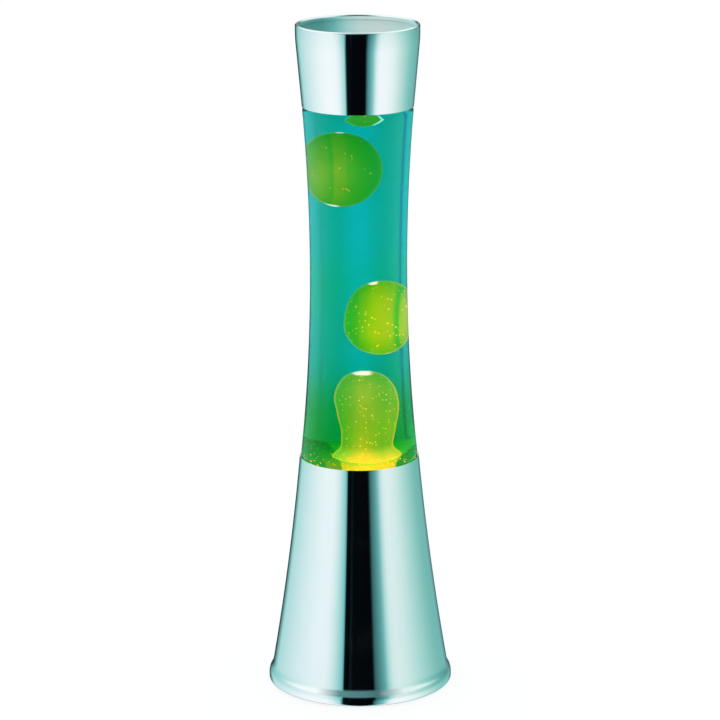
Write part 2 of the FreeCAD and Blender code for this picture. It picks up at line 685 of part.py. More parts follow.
def bottle_outline():
    """Outer face of the bottle, from the middle of its punt to its lip."""
    swell_r = bottle_r + BOTTLE_SWELL
    swell_z = shell_top + BOTTLE_SWELL_H
    swell_lean = 2 * (swell_r - WAIST_R) / (waist_z - swell_z)
    slope = math.radians(SHOULDER_SLOPE)
    start_r = SHOULDER_R - SHOULDER_ROUND * (1 - math.sin(slope))
    start_z = shoulder_z + SHOULDER_ROUND * math.cos(slope)
    neck_start_r = NECK_R + NECK_ROUND * (1 - math.sin(slope))
    neck_start_z = start_z + (start_r - neck_start_r) * math.tan(slope)
    glass = Outline(0, bottle_z + PUNT_H)
    glass.bow(punt_r, bottle_z, PUNT_BOW)
    glass.line(punt_r + FOOT_RING_W, bottle_z)
    glass.turn(bottle_r, bottle_z + HEEL_R)
    glass.line(bottle_r, shell_top)
    glass.ogee(swell_r, swell_z, -swell_lean, 1)
    glass.bow(WAIST_R, waist_z, (swell_r - WAIST_R) / 4)
    glass.bow(SHOULDER_R, shoulder_z, (SHOULDER_R - WAIST_R) / 4)
    glass.ogee(start_r, start_z, -math.cos(slope), math.sin(slope))
    glass.line(neck_start_r, neck_start_z)
    glass.ogee(NECK_R, neck_start_z + NECK_ROUND * math.cos(slope), 0, 1)
    return glass.line(NECK_R, lip_z)


def bottle():
    """Hollow glass with a punt, a waist, a shoulder and a crown lip."""
    glass = bottle_outline().pressed(BOTTLE_WALL)
    lip = rod(0, 0, lip_z - LIP_H, LIP_R, LIP_H)
    lip = lip.makeFillet(LIP_EDGE_R, circles(lip))
    return glass.fuse(lip.cut(rod(0, 0, lip_z - LIP_H, NECK_R, LIP_H)))


def bottle_cavity(level):
    """Space inside the bottle below a level."""
    wire = Part.Wire(bottle_outline().edges)
    inner = wire.makeOffset2D(BOTTLE_WALL, join=2, fill=False, openResult=True)
    corners = [vertex.Point for vertex in inner.Vertexes]
    bottom = min(corners, key=lambda corner: corner.x)
    top = max(corners, key=lambda corner: corner.z)
    axis_top = FreeCAD.Vector(0, 0, top.z)
    edges = list(inner.Edges)
    edges.append(Part.LineSegment(top, axis_top).toShape())
    edges.append(Part.LineSegment(axis_top, bottom).toShape())
    face = Part.Face(Part.Wire(Part.__sortEdges__(edges)))
    cavity = face.revolve(ORIGIN, UP, 360)
    return cavity.common(rod(0, 0, bottle_z, 2 * SHOULDER_R, level - bottle_z))


def heat_coil():
    """Ring of coiled wire on the bottle's floor, drawn as the tube that its turns fill."""
    share = COIL_R / punt_r
    punt_rise = PUNT_H * (1 - share) + 4 * PUNT_BOW * share * (1 - share)
    height = bottle_z + BOTTLE_WALL + punt_rise + COIL_LIFT + COIL_WIRE_R
    return Part.makeTorus(COIL_R, COIL_WIRE_R, FreeCAD.Vector(0, 0, height))


def wax_column():
    """Wax pool on the floor of the bottle with the column that rises from it."""
    pool_z = bottle_z + POOL_H
    pool = bottle_cavity(pool_z)
    column = Outline(0, pool_z)
    column.line(COLUMN_FLARE_R, pool_z)
    column.head(-1, 0)
    column.ogee(COLUMN_NECK_R, pool_z + COLUMN_NECK_H, 0, 1)
    column.ogee(COLUMN_HEAD_R, pool_z + COLUMN_HEAD_H, 0, 1)
    column.ogee(0, pool_z + COLUMN_H, -1, 0)
    rising = column.turned()
    rising.translate(FreeCAD.Vector(COLUMN_X, 0, 0))
    return pool.fuse(rising).cut(heat_coil())


def egg(x, y, z, radius, half_height, point_share):
    """Upright egg: point_share above 1 draws its upper half out to a blunt point."""
    body = Outline(0, z - half_height)
    body.head(1, 0)
    waist = z - half_height * (point_share - 1)
    body.ogee(radius, waist, 0, 1)
    body.ogee(0, z + half_height, -1, 0)
    solid = body.turned()
    solid.translate(FreeCAD.Vector(x, y, 0))
    return solid


def wax_blob_upper():
    """Large round blob on its way up."""
    return egg(UPPER_X, UPPER_Y, upper_z, UPPER_R, UPPER_HALF_H, 1.0)


def wax_blob_middle():
    """Egg-shaped blob with its point upwards."""
    return egg(MIDDLE_X, 0, middle_z, MIDDLE_R, MIDDLE_HALF_H, MIDDLE_POINT)


def wax_top():
    """Wax gathered under the level of the liquid."""
    whole = egg(TOP_X, 0, top_z, TOP_R, TOP_HALF_H, 1.0)
    return whole.common(bottle_cavity(level_z))


def liquid():
    """Liquid that fills the bottle around the wax and the coil."""
    filling = bottle_cavity(level_z)
    return filling.cut([wax_column(), heat_coil(), wax_blob_upper(), wax_blob_middle(), wax_top()])


def fluted_ring(mean_r, flute, z):
    """Closed wavy curve with one wave per flute of the crown."""
    points = []
    steps = 4 * CROWN_FLUTES
    for index in range(steps):
        angle = 2 * math.pi * index / steps
        radius = mean_r + flute / 2 * math.cos(CROWN_FLUTES * angle)
        points.append(FreeCAD.Vector(radius * math.cos(angle), radius * math.sin(angle), z))
    curve = Part.BSplineCurve()
    curve.interpolate(points, PeriodicFlag=True)
    return Part.Wire(curve.toShape())


def crown_form(inset):
    """Solid fluted form of the crown, drawn smaller on every side by inset."""
    top = lip_z + LINER_T + CROWN_T
    mean_r = CROWN_SKIRT_R - CROWN_FLUTE / 2
    halfway_r = (CROWN_BROW_R + mean_r) / 2
    rings = [
        fluted_ring(CROWN_TOP_R - inset, 0, top - inset),
        fluted_ring(CROWN_BROW_R - inset, 0, top - CROWN_BROW_DROP - inset / 2),
        fluted_ring(halfway_r - inset, CROWN_FLUTE / 2, top - CROWN_H / 2),
        fluted_ring(mean_r - inset, CROWN_FLUTE, top - CROWN_H - inset),
    ]
    return Part.makeLoft(rings, True, False)


def crown_cap():
    """Crown closure: a pressed lid whose skirt is crimped into flutes round the lip."""
    below = lip_z + LINER_T + CROWN_T - CROWN_H
    lid = crown_form(0).cut(crown_form(CROWN_T))
    return lid.common(rod(0, 0, below, 2 * CROWN_SKIRT_R, 2 * CROWN_H))


def crown_liner():
    """Soft disc between the lip and the lid."""
    return rod(0, 0, lip_z, CROWN_TOP_R - CROWN_T - FIT_GAP, LINER_T)


def flare_outline():
    """Outer face of the cap, from its lower edge round the hem at its rim."""
    side = Outline(FLARE_FOOT_R, cap_foot_z)
    bend_z = cap_top - HEM_R - FLARE_BAND_H - FLARE_BEND_H
    side.line(FLARE_FOOT_R + flare_lean * (bend_z - cap_foot_z), bend_z)
    side.ogee(FLARE_RIM_R, bend_z + FLARE_BEND_H, 0, 1)
    side.line(FLARE_RIM_R, cap_top - HEM_R)
    side.turn(FLARE_RIM_R - HEM_R, cap_top)
    side.turn(FLARE_RIM_R - 2 * HEM_R, cap_top - HEM_R)
    return side.line(FLARE_RIM_R - 2 * HEM_R, cap_top - HEM_R - HEM_TUCK)


def flare_inner_r(z):
    """Radius inside the cap's cone at height z, less the fit of what is fixed to it."""
    wall = FLARE_WALL * math.hypot(1, flare_lean)
    return FLARE_FOOT_R + flare_lean * (z - cap_foot_z) - wall - FIT_GAP


def cap_shell():
    """Spun cap that flares upwards, open below, with its rim rolled inwards."""
    return flare_outline().pressed(FLARE_WALL)


def cap_pan():
    """Pressed floor of the well in the cap, with an upright collar."""
    pan = Outline(0, pan_z)
    pan.line(flare_inner_r(pan_z) - PAN_CORNER_R, pan_z)
    pan.turn(flare_inner_r(pan_z + PAN_CORNER_R), pan_z + PAN_CORNER_R)
    pan.line(flare_inner_r(pan_z + PAN_COLLAR_H), pan_z + PAN_COLLAR_H)
    return pan.pressed(PAN_T)


def pieces():
    """Every node by name."""
    nodes = {
        "base_shell": base_shell(),
        "base_plate": base_plate(),
        "plate_screws": plate_screws(),
        "bottle_seat": bottle_seat(),
        "holder_bracket": holder_bracket(),
        "bracket_rivets": bracket_rivets(),
        "lampholder_body": lampholder_body(),
        "lampholder_shell": lampholder_shell(),
        "centre_contact": centre_contact(),
        "holder_screws": holder_screws(),
        "terminal_block": terminal_block(),
        "terminal_screws": terminal_screws(),
        "block_screw": block_screw(),
        "live_lead": fixed_lead(-1),
        "neutral_lead": fixed_lead(1),
        "cord_gland": cord_gland(),
        "gland_nut": gland_nut(),
        "bulb_tip": bulb_tip(),
        "bulb_insulator": bulb_insulator(),
        "bulb_screw_shell": bulb_screw_shell(),
        "bulb_glass": bulb_glass(),
        "bulb_stem": bulb_stem(),
        "bulb_lead_wires": bulb_lead_wires(),
        "bulb_filament": bulb_filament(),
        "bottle": bottle(),
        "liquid": liquid(),
        "wax_column": wax_column(),
        "wax_blob_upper": wax_blob_upper(),
        "wax_blob_middle": wax_blob_middle(),
        "wax_top": wax_top(),
        "heat_coil": heat_coil(),
        "crown_cap": crown_cap(),
        "crown_liner": crown_liner(),
        "cap_shell": cap_shell(),
        "cap_pan": cap_pan(),
    }
    for index, (x, y) in enumerate(ring_spots(FOOT_COUNT, foot_circle_r, 45)):
        nodes[f"rubber_foot_{index + 1}"] = rubber_foot(x, y)
    for index in range(LUG_COUNT):
        nodes[f"mounting_lug_{index + 1}"] = mounting_lug(index)
    return nodes


os.makedirs("parts", exist_ok=True)
for name, shape in pieces().items():
    shape.exportStep(f"parts/{name}.step")
    box = shape.BoundBox
    print(f"{name}: {len(shape.Solids)} solid(s), {shape.Volume:.1f} mm3, valid {shape.isValid()},"
          f" r {box.XMax:.2f}, z {box.ZMin:.2f} to {box.ZMax:.2f}")
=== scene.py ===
import math

import bpy
from mathutils import Matrix, Vector


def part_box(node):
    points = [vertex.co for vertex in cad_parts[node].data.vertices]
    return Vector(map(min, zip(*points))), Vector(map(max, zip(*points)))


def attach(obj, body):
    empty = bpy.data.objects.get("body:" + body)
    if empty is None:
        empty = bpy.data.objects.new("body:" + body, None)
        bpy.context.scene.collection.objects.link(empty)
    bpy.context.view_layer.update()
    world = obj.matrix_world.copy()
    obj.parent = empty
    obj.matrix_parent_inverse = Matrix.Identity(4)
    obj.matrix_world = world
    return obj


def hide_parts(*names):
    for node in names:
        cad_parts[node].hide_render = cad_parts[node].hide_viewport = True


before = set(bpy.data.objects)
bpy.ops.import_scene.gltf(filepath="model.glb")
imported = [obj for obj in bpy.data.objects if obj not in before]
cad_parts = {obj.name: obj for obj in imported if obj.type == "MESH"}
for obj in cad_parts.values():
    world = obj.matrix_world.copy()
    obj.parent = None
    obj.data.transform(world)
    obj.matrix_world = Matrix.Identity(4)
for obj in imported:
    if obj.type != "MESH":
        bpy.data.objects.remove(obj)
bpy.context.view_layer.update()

# A lava lamp: mirror chrome on the base and the cap, a thick glass bottle of
# teal liquid, and lime wax lit from below. Lengths are in metres.

MM = 0.001
STEPS = 192                    # sides of what is turned about the lamp's axis
WAX_STEPS = 96
POLE_R = 0.01 * MM             # ring that closes a turned piece on its axis

# Metal shells
SHELL_TOP_R = 35.05 * MM
SHELL_FOOT_R = 51.85 * MM
SHELL_BOW = 1.24 * MM
SHELL_WALL = 0.8 * MM
FLANGE_H = 10.8 * MM
FLANGE_BAND_H = 3.0 * MM
CURL_R = 1.2 * MM
CURL_LIP = 2.2 * MM
CAP_FOOT_R = 32.26 * MM
CAP_BEND_H = 8.0 * MM
CAP_BAND_H = 2.4 * MM
CAP_HEM_R = 1.1 * MM
CAP_HEM_TUCK = 1.5 * MM
GLAND_HOLE_SHARE = 0.72        # of the gland's collar
GLAND_PUNCH_L = 30.0 * MM

# Bottle and its filling
GLASS_WALL = 2.0 * MM
LIQUID_BITE = 0.08 * MM        # how far the liquid's mesh reaches into the glass
HEEL_R = 5.0 * MM
PUNT_H = 5.0 * MM
PUNT_BOW = 1.25 * MM
FOOT_RING_W = 3.0 * MM
COLLAR_GAP = 0.35 * MM
SWELL = 0.2 * MM
SWELL_H = 2.6 * MM
WAIST_R = 28.3 * MM
WAIST_H = 132.0 * MM
SHOULDER_R = 32.0 * MM
SHOULDER_H = 222.6 * MM
SHOULDER_ROUND = 5.0 * MM
SHOULDER_SLOPE = math.radians(24.0)
NECK_R = 12.2 * MM
NECK_ROUND = 5.0 * MM
LIP_R = 13.0 * MM
LIP_H = 4.0 * MM
LIP_EDGE_R = 0.8 * MM

POOL_H = 19.0 * MM
POOL_GAP = 0.15 * MM           # film of liquid between the pool and the glass
POOL_EDGE_W = 1.5 * MM         # where the pool's surface curves up to its skin
POOL_EDGE_DIP = 0.1 * MM
COLUMN_ROOT = 2.0 * MM         # how far the column reaches into the pool
COLUMN_FLARE_R = 17.5 * MM
COLUMN_NECK_R = 12.0 * MM
COLUMN_NECK_H = 8.0 * MM
COLUMN_HEAD_R = 13.9 * MM
COLUMN_HEAD_H = 31.0 * MM
# Height, then the column's shift to the side and to the back, in millimetres
COLUMN_LEAN = [(146, 3.6, -7), (157, 4.2, -4), (166, 3.9, -1.5), (177, 2.9, 0), (193, 2.2, 0)]
TOP_WAX_X = 2.5 * MM
TOP_WAX_R = 13.0 * MM
TOP_WAX_HALF_H = 15.6 * MM
TOP_WAX_LEVEL_GAP = 0.2 * MM   # film of liquid over the gathered wax
TOP_WAX_EDGE = 0.3 * MM

GLASS_IOR = 1.47
LIQUID_IOR = 1.35
DYE = (0.0, 0.881, 0.885, 1)
DYE_DENSITY = 130.0

# Painted glow of the wax and the bulb in the liquid: its tint by height in millimetres
LIQUID_PAINTED_GLOW = [
    (122, (0.6, 0.85, 0.12, 1)), (146, (0.6, 0.86, 0.16, 1)), (150, (0.6, 0.86, 0.19, 1)),
    (156, (0.7, 0.87, 0.29, 1)), (162, (0.75, 0.90, 0.42, 1)), (169, (0.85, 0.93, 0.57, 1)),
    (180, (0.95, 0.96, 0.80, 1)), (190, (1, 0.97, 0.84, 1)), (205, (1, 1, 0.84, 1)),
    (232, (1, 1, 0.78, 1)), (245, (1, 1, 0.86, 1)), (262, (1, 1, 1, 1)), (355, (1, 1, 1, 1)),
]

# Painted glow of the bulb in each body of wax, by share of its height
POOL_PAINTED_GLOW = [(0.0, (0.9, 0.60, 0.02, 1)), (0.16, (0.30, 0.42, 0.05, 1)), (0.22, (0.06, 0.39, 0.05, 1)),
                (1.0, (0.06, 0.39, 0.05, 1))]
COLUMN_PAINTED_GLOW = [(0.0, (7.0, 1.05, 0.08, 1)), (0.24, (6.6, 1.15, 0.12, 1)), (0.31, (5.0, 1.0, 0.10, 1)),
                  (0.37, (2.6, 0.74, 0.05, 1)), (0.75, (2.1, 0.70, 0.05, 1)), (1.0, (3.0, 0.74, 0.06, 1))]
MIDDLE_PAINTED_GLOW = [(0.0, (1.05, 0.70, 0.01, 1)), (0.5, (1.0, 0.72, 0.01, 1)), (1.0, (1.1, 0.67, 0.02, 1))]
UPPER_PAINTED_GLOW = [(0.0, (0.30, 0.50, 0.02, 1)), (0.5, (0.26, 0.48, 0.02, 1)), (1.0, (0.24, 0.46, 0.02, 1))]
TOP_PAINTED_GLOW = [(0.0, (0.30, 0.50, 0.04, 1)), (1.0, (1.6, 0.62, 0.05, 1))]

# Painted bands of light and shade across each body of wax: millimetres across the lamp, then what red, green
# and blue are multiplied by there
WAX_REACH = 30
POOL_PAINTED_BANDS = [(-30, 0.2, 1, 1), (-19.5, 0.2, 1, 1), (-18.5, 3.5, 1.18, 1), (-10.5, 3.5, 1.18, 1),
              (-9.2, 20, 2.1, 1.2), (2, 26, 2.5, 1.2), (16, 24, 2.3, 1.1), (20.2, 18, 2.0, 1),
              (21.2, 0.2, 0.98, 1), (30, 0.2, 0.98, 1)]
COLUMN_PAINTED_BANDS = [(-14, 0.50, 1, 1), (-9, 0.60, 0.97, 1), (-4, 0.85, 0.98, 1), (0.5, 1.25, 1.03, 1),
                (5, 1.05, 1, 1), (8, 0.80, 0.98, 1), (12, 0.65, 0.97, 1), (15, 0.90, 1, 1), (20, 1.1, 1, 1)]
MIDDLE_PAINTED_BANDS = [(-7, 0.30, 0.88, 1.5), (-2.2, 0.42, 0.88, 1.5), (-0.6, 0.55, 0.88, 1.5), (0.6, 0.85, 0.97, 1),
                (5.8, 1.35, 1.05, 0.3), (8.5, 1.35, 1.05, 0.3), (12.5, 1.15, 1, 0.5), (17.0, 0.80, 0.98, 0.7),
                (19.3, 0.16, 0.87, 1.4), (20.6, 0.12, 0.86, 1.4), (21.6, 0.60, 0.97, 1), (28, 0.7, 1, 1)]
UPPER_PAINTED_BANDS = [(-28, 0.6, 1, 1), (-20, 0.95, 1, 1), (-15.6, 0.75, 1, 1), (-14.2, 0.5, 0.97, 1.1),
               (-13.2, 0.62, 0.98, 1), (-12.0, 1.4, 1.02, 0.9), (-6.6, 1.25, 1.01, 1), (-5.4, 0.80, 1, 1),
               (-1, 0.62, 0.98, 1), (2.6, 0.42, 0.97, 1.1), (9.5, 0.42, 0.98, 1.1), (14, 0.6, 1, 1)]
TOP_PAINTED_BANDS = [(-10, 0.7, 1, 1), (16, 1, 1, 1)]

# Red of each painted highlight on the wax, then where it lies
COLUMN_PAINTED_HIGHLIGHTS = [(34, {"Side": -0.10, "Width": 0.50, "Rise": 1.0, "Low": 0.86, "High": 0.92, "Front": 0.50})]
MIDDLE_PAINTED_HIGHLIGHTS = [(36, {"Side": -0.30, "Width": 0.26, "Rise": 1.0, "Low": 0.89, "High": 0.94, "Front": 0.26}),
                 (20, {"Side": 0.25, "Width": 0.12, "Rise": -1.0, "Low": 0.90, "High": 0.95, "Front": 0.42})]
UPPER_PAINTED_HIGHLIGHTS = [(30, {"Side": 0.0, "Width": 0.13, "Rise": 1.0, "Low": 0.965, "High": 0.985, "Front": 0.06}),
                (12, {"Side": -0.30, "Width": 0.30, "Rise": -1.0, "Low": 0.86, "High": 0.92, "Front": 0.36})]
TOP_PAINTED_HIGHLIGHTS = [(10, {"Side": 0.60, "Width": 0.35, "Rise": -1.0, "Low": 0.50, "High": 0.70, "Front": 0.30})]
PAINTED_HIGHLIGHT_GREEN, PAINTED_HIGHLIGHT_BLUE = 1.6, 1.4

# Bubbles in the wax, painted as bright glowing sparkles of the bulb's light
SPECK_SPARKLE_COLOUR = (17.0, 1.65, 0.30, 1)
SPECK_LAYERS = [(620.0, 0.17, 0.42), (330.0, 0.12, 0.20)]   # scale, size and share of the cells
# Painted rim light along the wax's edges, and the facing over which it comes in
PAINTED_RIM_LIGHT_COLOUR = (22.0, 1.0, 0.06, 1)
PAINTED_RIM_FACING = (0.62, 0.90)

# Painted light and shade on the satin inside the cap, from side to side
SATIN_REACH = 36 * MM
SATIN_PAINTED_SHADE = [(0.0, (0.14, 0.44, 0.42, 1)), (0.12, (0.12, 0.42, 0.40, 1)), (0.22, (0.15, 0.44, 0.43, 1)),
               (0.31, (0.24, 0.66, 0.63, 1)), (0.41, (0.62, 0.92, 0.90, 1)), (0.51, (0.92, 1, 0.99, 1)),
               (0.66, (1, 1, 0.99, 1)), (0.81, (0.90, 1, 0.98, 1)), (1.0, (0.66, 0.94, 0.92, 1))]

# Studio as the chrome mirrors it: degrees round from the front, then the colour
LEVEL_ROOM = [
    (-180, (150, 175, 176)), (-172, (50, 72, 74)), (-163, (18, 50, 52)), (-157, (74, 122, 124)),
    (-150, (110, 172, 174)), (-140, (133, 202, 199)), (-120, (169, 217, 218)), (-95, (200, 230, 231)),
    (-65, (226, 242, 244)), (-48, (229, 243, 245)), (-42, (217, 237, 237)), (-36, (195, 228, 226)),
    (-28, (148, 208, 206)), (-23.3, (112, 190, 192)), (-21.2, (6, 12, 15)), (-15.5, (3, 4, 7)),
    (-13.5, (14, 28, 31)), (-10, (4, 7, 12)), (17.2, (3, 5, 8)), (19.8, (48, 94, 95)),
    (29, (81, 147, 147)), (33, (98, 170, 167)), (38, (158, 212, 209)), (44, (204, 231, 228)),
    (52, (212, 235, 233)), (66, (197, 228, 224)), (85, (155, 210, 204)), (105, (117, 190, 182)),
    (135, (88, 155, 150)), (150, (98, 143, 142)), (162, (40, 66, 68)), (180, (150, 175, 176)),
]
LOW_ROOM = [
    (-180, (150, 175, 176)), (-172, (60, 84, 86)), (-163, (24, 60, 62)), (-150, (120, 172, 170)),
    (-140, (186, 228, 228)), (-120, (206, 232, 234)), (-95, (226, 242, 244)), (-80, (237, 247, 251)),
    (-60, (246, 251, 255)), (-42, (240, 248, 252)), (-36, (224, 241, 243)), (-28, (179, 221, 221)),
    (-26, (160, 224, 225)), (-24.6, (116, 182, 186)), (-22.2, (8, 15, 17)), (-10, (3, 6, 11)),
    (15.2, (3, 5, 8)), (19.5, (66, 130, 132)), (29, (120, 193, 194)), (35, (200, 229, 230)),
    (38, (227, 242, 244)), (44, (243, 250, 255)), (58, (243, 249, 254)), (75, (230, 244, 245)),
    (95, (194, 226, 221)), (115, (151, 208, 200)), (125, (134, 203, 194)), (145, (128, 198, 194)),
    (158, (100, 165, 167)), (168, (50, 76, 78)), (180, (150, 175, 176)),
]
HIGH_ROOM = [
    (-180, (246, 253, 253)), (-60, (246, 253, 253)), (-28, (90, 140, 142)), (24, (70, 115, 118)),
    (60, (225, 242, 242)), (180, (246, 253, 253)),
]

LOW_ROOM_DIP = (-0.02, -0.36)      # upward share of the direction
HIGH_ROOM_RISE = (0.15, 0.45)

# Studio as seen through the bottle
CLEAR_ROOM = [
    (-180, (250, 255, 255)), (-176, (252, 255, 255)), (-173, (215, 248, 240)), (-169, (40, 242, 222)),
    (-163, (40, 237, 210)), (-152, (40, 236, 210)), (-146, (40, 236, 214)), (-143.2, (20, 180, 205)),
    (-140.5, (20, 180, 208)), (-137, (170, 242, 232)), (-130, (215, 250, 245)), (-118, (255, 255, 255)),
    (118, (255, 255, 255)), (132, (150, 240, 232)), (145, (40, 236, 222)), (148, (40, 234, 214)),
    (149.5, (40, 222, 208)), (151.5, (40, 222, 208)), (153.5, (40, 236, 208)), (163, (40, 237, 210)),
    (169, (40, 240, 218)), (173, (205, 248, 236)), (177, (250, 255, 255)), (180, (250, 255, 255)),
]

SOFT_ROOM = (0.9, 0.93, 0.93, 1)   # light on what is matt
WHITE = (1, 1, 1, 1)
FLOOR_GREY = (0.2, 0.2, 0.2, 1)
FLOOR_GLOW = 0.83

# Camera
CAMERA_AT = Vector((0.62 * MM, -1843.3 * MM, 681.37 * MM))
CAMERA_PITCH = math.radians(14.736)
CAMERA_ROLL = math.radians(-0.232)
CAMERA_LENS = 162.78


# ---------------------------------------------------------------- mesh tools

def deselect():
    """Leave edit mode and select nothing."""
    if bpy.context.object and bpy.context.object.mode != "OBJECT":
        bpy.ops.object.mode_set(mode="OBJECT")
    bpy.ops.object.select_all(action="DESELECT")


def begin(name):
    """Name the new primitive and open it for editing with everything selected."""
    piece = bpy.context.object
    piece.name = name
    piece.data.name = name
    bpy.ops.object.mode_set(mode="EDIT")
    bpy.ops.mesh.select_all(action="SELECT")
    return piece


def settle(piece, smooth=True, angle=None):
    """Close the edit, move the piece's place into its mesh and shade it."""
    bpy.ops.object.mode_set(mode="OBJECT")
    deselect()
    piece.select_set(True)
    bpy.context.view_layer.objects.active = piece
    bpy.ops.object.transform_apply(location=True, rotation=True, scale=True)
    if angle is not None:
        bpy.ops.object.shade_smooth_by_angle(angle=math.radians(angle))
    elif smooth:
        bpy.ops.object.shade_smooth()
    deselect()
    return piece


class Outline:
    """Points drawn end to end in the half plane of radius r and height z."""

    def __init__(self, r, z):
        self.points = [Vector((r, z))]
        self.heading = None

    @property
    def at(self):
        return self.points[-1]

    def head(self, r, z):
        """Face along (r, z) before the next arc."""
        self.heading = Vector((r, z)).normalized()
        return self

    def line(self, r, z, parts=1):
        """Straight to the point, in equal parts."""
        start = self.at.copy()
        end = Vector((r, z))
        self.points.extend(start.lerp(end, (k + 1) / parts) for k in range(parts))
        self.heading = (end - start).normalized()
        return self

    def bow(self, r, z, rise, parts=8):
        """Arc to the point whose middle stands rise to the left of its chord."""
        start = self.at.copy()
        end = Vector((r, z))
        chord = end - start
        along = chord.normalized()
        left = Vector((-along.y, along.x))
        angle = 2 * math.atan(2 * rise / chord.length)
        if abs(angle) < 1e-6:
            return self.line(r, z, parts)
        radius = chord.length / (2 * math.sin(angle))
        centre = (start + end) * 0.5 - left * radius * math.cos(angle)
        for k in range(1, parts + 1):
            turn = angle * (2 * k / parts - 1)
            self.points.append(centre + along * radius * math.sin(turn) + left * radius * math.cos(turn))
        self.heading = along * math.cos(angle) - left * math.sin(angle)
        return self

    def turn(self, r, z, parts=8):
        """Arc to the point, tangent to what comes before it."""
        chord = Vector((r, z)) - self.at
        along = chord.normalized()
        left = Vector((-along.y, along.x))
        angle = math.atan2(self.heading.dot(left), self.heading.dot(along))
        return self.bow(r, z, chord.length / 2 * math.tan(angle / 2), parts)

    def ogee(self, r, z, heading_r, heading_z, parts=8):
        """Two arcs to the point, tangent to what comes before and to the end heading."""
        end = Vector((r, z))
        last = Vector((heading_r, heading_z)).normalized()
        span = end - self.at
        along = span.dot(self.heading + last)
        spread = 2 * (1 - self.heading.dot(last))
        square = span.dot(span)
        reach = square / (along + math.sqrt(along ** 2 + spread * square))
        meet = (self.at + end + (self.heading - last) * reach) * 0.5
        self.turn(meet.x, meet.y, parts)
        return self.turn(end.x, end.y, parts)

    def offset(self, distance):
        """The same outline moved to its left by distance, mitred at its corners."""
        sides = []
        for before, after in zip(self.points, self.points[1:]):
            along = (after - before).normalized()
            sides.append(Vector((-along.y, along.x)))
        moved = []
        for index, point in enumerate(self.points):
            first = sides[max(index - 1, 0)]
            last = sides[min(index, len(sides) - 1)]
            middle = (first + last).normalized()
            moved.append(point + middle * distance / max(middle.dot(first), 0.5))
        if self.points[0].x < 1e-6:
            moved[0].x = 0.0
        return moved


def lathe(name, points, steps=STEPS, lean=None):
    """Ring extruded from point to point; lean gives how far a ring is shifted by its height."""
    deselect()
    shift = lean or (lambda height: Vector((0.0, 0.0)))
    first = points[0]
    at = shift(first.y)
    radius = max(first.x, POLE_R)
    bpy.ops.mesh.primitive_circle_add(vertices=steps, radius=radius, location=(at.x, at.y, first.y))
    piece = begin(name)
    for point in points[1:]:
        aside = shift(point.y)
        move = (aside.x - at.x, aside.y - at.y, point.y - first.y)
        bpy.ops.mesh.extrude_edges_move(TRANSFORM_OT_translate={"value": move})
        scale = max(point.x, POLE_R) / radius
        bpy.ops.transform.resize(value=(scale, scale, 1), center_override=(aside.x, aside.y, point.y))
        radius = max(point.x, POLE_R)
        first, at = point, aside
    bpy.ops.mesh.select_all(action="SELECT")
    bpy.ops.mesh.remove_doubles(threshold=2 * POLE_R)
    bpy.ops.mesh.normals_make_consistent(inside=False)
    return settle(piece)


def sheet(name, outline, thickness, steps=STEPS):
    """Closed wall of revolution between the outline and its offset to the left."""
    points = outline.points + outline.offset(thickness)[::-1]
    if outline.points[0].x > 1e-6:
        points.append(outline.points[0])
    return lathe(name, points, steps=steps)


# ---------------------------------------------------------------- materials

def srgb(red, green, blue):
    """Linear colour of an 8-bit display colour."""
    def lift(value):
        share = value / 255
        return share / 12.92 if share <= 0.04045 else ((share + 0.055) / 1.055) ** 2.4
    return (lift(red), lift(green), lift(blue), 1.0)


class Nodes:
    """Short names for adding and linking nodes in one tree."""

    def __init__(self, tree):
        self.tree = tree

    def add(self, kind, **settings):
        node = self.tree.nodes.new(kind)
        for key, value in settings.items():
            setattr(node, key, value)
        return node

    def link(self, source, target):
        self.tree.links.new(source, target)

    def math(self, operation, first, second=None):
        """Math node; numbers are set and sockets are linked."""
        node = self.add("ShaderNodeMath", operation=operation)
        for slot, value in enumerate((first, second)):
            if value is None:
                continue
            if isinstance(value, (int, float)):
                node.inputs[slot].default_value = value
            else:
                self.link(value, node.inputs[slot])
        return node.outputs[0]

    def ramp(self, factor, stops):
        """Colour ramp with (place, colour) stops."""
        node = self.add("ShaderNodeValToRGB")
        elements = node.color_ramp.elements
        elements[0].position, elements[0].color = stops[0]
        elements[1].position, elements[1].color = stops[-1]
        for place, colour in stops[1:-1]:
            elements.new(place).color = colour
        self.link(factor, node.inputs[0])
        return node.outputs["Color"]

    def mix(self, factor, first, second, blend="MIX"):
        """Colour mix; colours are set and sockets are linked."""
        node = self.add("ShaderNodeMix", data_type="RGBA", blend_type=blend)
        for key, value in ((0, factor), (6, first), (7, second)):
            if isinstance(value, (int, float, tuple)):
                node.inputs[key].default_value = value
            else:
                self.link(value, node.inputs[key])
        return node.outputs[2]


def new_material(name):
    """Empty material with a Principled shader: the material, its nodes and the shader."""
    made = bpy.data.materials.new(name)
    made.use_nodes = True
    made.node_tree.nodes.clear()
    nodes = Nodes(made.node_tree)
    shader = nodes.add("ShaderNodeBsdfPrincipled")
    output = nodes.add("ShaderNodeOutputMaterial")
    nodes.link(shader.outputs[0], output.inputs["Surface"])
    return made, nodes, shader, output


def new_group(name, inputs, outputs):
    """Shader node group with float inputs: its tree, its nodes and its two ends."""
    tree = bpy.data.node_groups.new(name, "ShaderNodeTree")
    for socket, value in inputs:
        made = tree.interface.new_socket(socket, in_out="INPUT", socket_type="NodeSocketFloat")
        made.default_value = value
    for socket, kind in outputs:
        tree.interface.new_socket(socket, in_out="OUTPUT", socket_type=kind)
    nodes = Nodes(tree)
    return tree, nodes, nodes.add("NodeGroupInput"), nodes.add("NodeGroupOutput")


